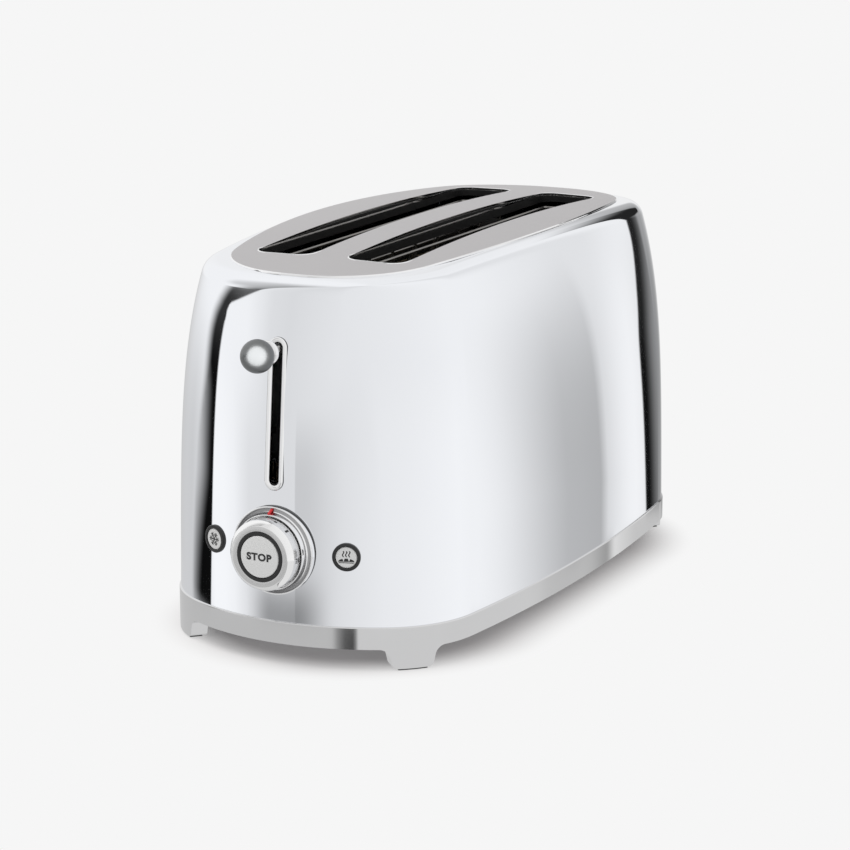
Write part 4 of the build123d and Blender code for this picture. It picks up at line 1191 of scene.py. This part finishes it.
# %% Zinc sheet, and sheet darkened as painted shade
def flakes(paint, scale, out):
    return paint.node("ShaderNodeTexVoronoi", None, {"Vector": paint.where(), "Scale": scale}, out)


zinc = finish("zinc_sheet")
zinc_grain = zinc.noise(420.0, 3.0)
spangle = flakes(zinc, 190.0, "Distance") + 0.4 * zinc_grain
zinc_sheet = zinc.two_tone(
    (0.50, 0.51, 0.525), (0.63, 0.64, 0.65), spangle, (0.3, 0.2), fine=zinc_grain, metal=1.0,
    bump=(0.12, 0.00005),
)
# the heat shield and chassis are darkened as painted shade, for the dark inside of the slots
shaded_room_sheet = grained(
    "painted_shade_sheet", (0.10, 0.10, 0.102), (0.18, 0.177, 0.174), (22.0, 3.0), (0.38, 0.2),
    fine=(300.0, 3.0), metal=1.0, bump=(0.12, 0.00005),
)

# %% Mica board and heater ribbon
mica = finish("mica_board")
flake_colours = flakes(mica, 260.0, "Color")
flake_share = mica.node("ShaderNodeSeparateColor", None, {"Color": flake_colours})
mica_cloud = mica.noise(60.0, 4.0)
mica_tint = 0.5 * flake_share + 0.5 * mica_cloud
mica_board = mica.surface({
    "Base Color": mica.tone(mica_tint, (0.16, 0.125, 0.085), (0.34, 0.29, 0.21)),
    "Roughness": 0.38 + 0.3 * flake_share,
}, bump=(mica_cloud, 0.2, 0.0001))
heater_alloy = grained(
    "heater_alloy", (0.14, 0.125, 0.115), (0.30, 0.285, 0.27), (240.0, 4.0), (0.4, 0.2), metal=0.9
)

# %% Iron and copper winding
plain_iron = grained(
    "plain_iron", (0.26, 0.26, 0.27), (0.40, 0.40, 0.41), (30.0, 1.0, (1.0, 60.0, 1.0)),
    (0.42, 0.15), fine=(500.0, 4.0), metal=1.0, bump=(0.15, 0.0001),
)
copper = finish("copper_winding")
wires = copper.node("ShaderNodeTexWave", {"bands_direction": "Z"}, {
    "Vector": copper.where(), "Scale": 620.0, "Distortion": 0.4, "Detail": 1.0,
}, out="Fac")
copper_winding = copper.two_tone(
    (0.30, 0.12, 0.05), (0.72, 0.36, 0.18), wires, (0.28, 0.2), metal=0.85, bump=(0.5, 0.0002)
)

# %% Circuit board and rubber
board = finish("circuit_laminate")
tracks = board.node("ShaderNodeTexBrick", {"offset": 0.5}, {
    "Vector": board.where(), "Scale": 160.0, "Mortar Size": 0.06,
    "Color1": (0.02, 0.11, 0.05), "Color2": (0.025, 0.14, 0.06), "Mortar": (0.10, 0.30, 0.14),
}, out="Color")
board_weave = board.noise(900.0, 2.0)
laminate = board.surface({"Base Color": tracks, "Roughness": 0.35 + 0.15 * board_weave})
foot_rubber = grained(
    "foot_rubber", (0.035, 0.035, 0.036), (0.06, 0.06, 0.061), (1100.0, 3.0), (0.72, 0.15),
    bump=(0.3, 0.0001),
)

# %% Give each CAD node its finish
# a node takes the first finish that lists how its name starts
wearers = (
    ("base_ring crumb_tray_front", ring_steel),
    ("top_plate", plate_satin_and_slot_shade),
    ("foot_pads", foot_rubber),
    ("lever_stem guide_rods return_springs cover_screws", bright_wire),
    ("bread_", guide_wire),
    ("heat_shield chassis", shaded_room_sheet),
    ("heater_board", mica_board),
    ("heater_ribbon", heater_alloy),
    ("bottom_cover board_bracket magnet_bracket crumb_tray carriage", zinc_sheet),
    ("magnet_core armature", plain_iron),
    ("magnet_coil", copper_winding),
    ("control_board", laminate),
    ("cord_ terminal_block rotary_sensor push_switches", black_plastic),
)
rebuilt = []
for label, piece in nodes.items():
    fitting = [worn for starts, worn in wearers if label.startswith(tuple(starts.split()))]
    if fitting:
        piece.data.materials.clear()
        piece.data.materials.append(fitting[0])
    else:
        rebuilt.append(label)
print(len(nodes) - len(rebuilt), "CAD nodes finished; rebuilt:", rebuilt)

# %% [markdown]
# ## Lips round the bread slots
# A thin bright line runs along each slot, where the sheet is turned down. The plate is a CAD piece
# and stays as it is, so a narrow rounded lip follows the slot's outline on its crown.

# %% Slot lips
SLOT_HALF_WIDTH = 17.2
SLOT_HALF_LENGTH = 128.5
SLOT_CORNER = 9.0
SLOT_SIDE = 27.7
LIP_PROFILE = ((-0.05, 0.1), (0.0, 1.05), (0.28, 1.32), (0.62, 1.25), (0.85, 0.95), (0.85, 0.1))
for label, middle_x in (("left", -SLOT_SIDE), ("right", SLOT_SIDE)):
    lip = bmesh.new()
    loops = []
    for widen, lift in LIP_PROFILE:
        radius = (SLOT_CORNER + widen) * MM
        ring = bmesh.ops.create_circle(lip, segments=96, radius=radius)["verts"]
        for vertex in ring:
            x = vertex.co.x / MM
            y = vertex.co.y / MM
            x += middle_x + (SLOT_HALF_WIDTH - SLOT_CORNER) * (1.0 if x > 0.0 else -1.0)
            y += (SLOT_HALF_LENGTH - SLOT_CORNER) * (1.0 if y > 0.0 else -1.0)
            vertex.co = Vector((x, y, crown_at(x, y) + lift)) * MM
        loops.append(loop_edges(ring))
    bridge_round(lip, loops)
    long_edges = [edge for edge in lip.edges if edge.calc_length() > 100.0 * MM]
    bmesh.ops.subdivide_edges(lip, edges=long_edges, cuts=40, use_grid_fill=True)
    face_outward(lip)
    hand_over(f"slot_lip_{label}", lip, bright_trim, "housing")

# %% Finish
bpy.context.scene.view_settings.view_transform = "Standard"
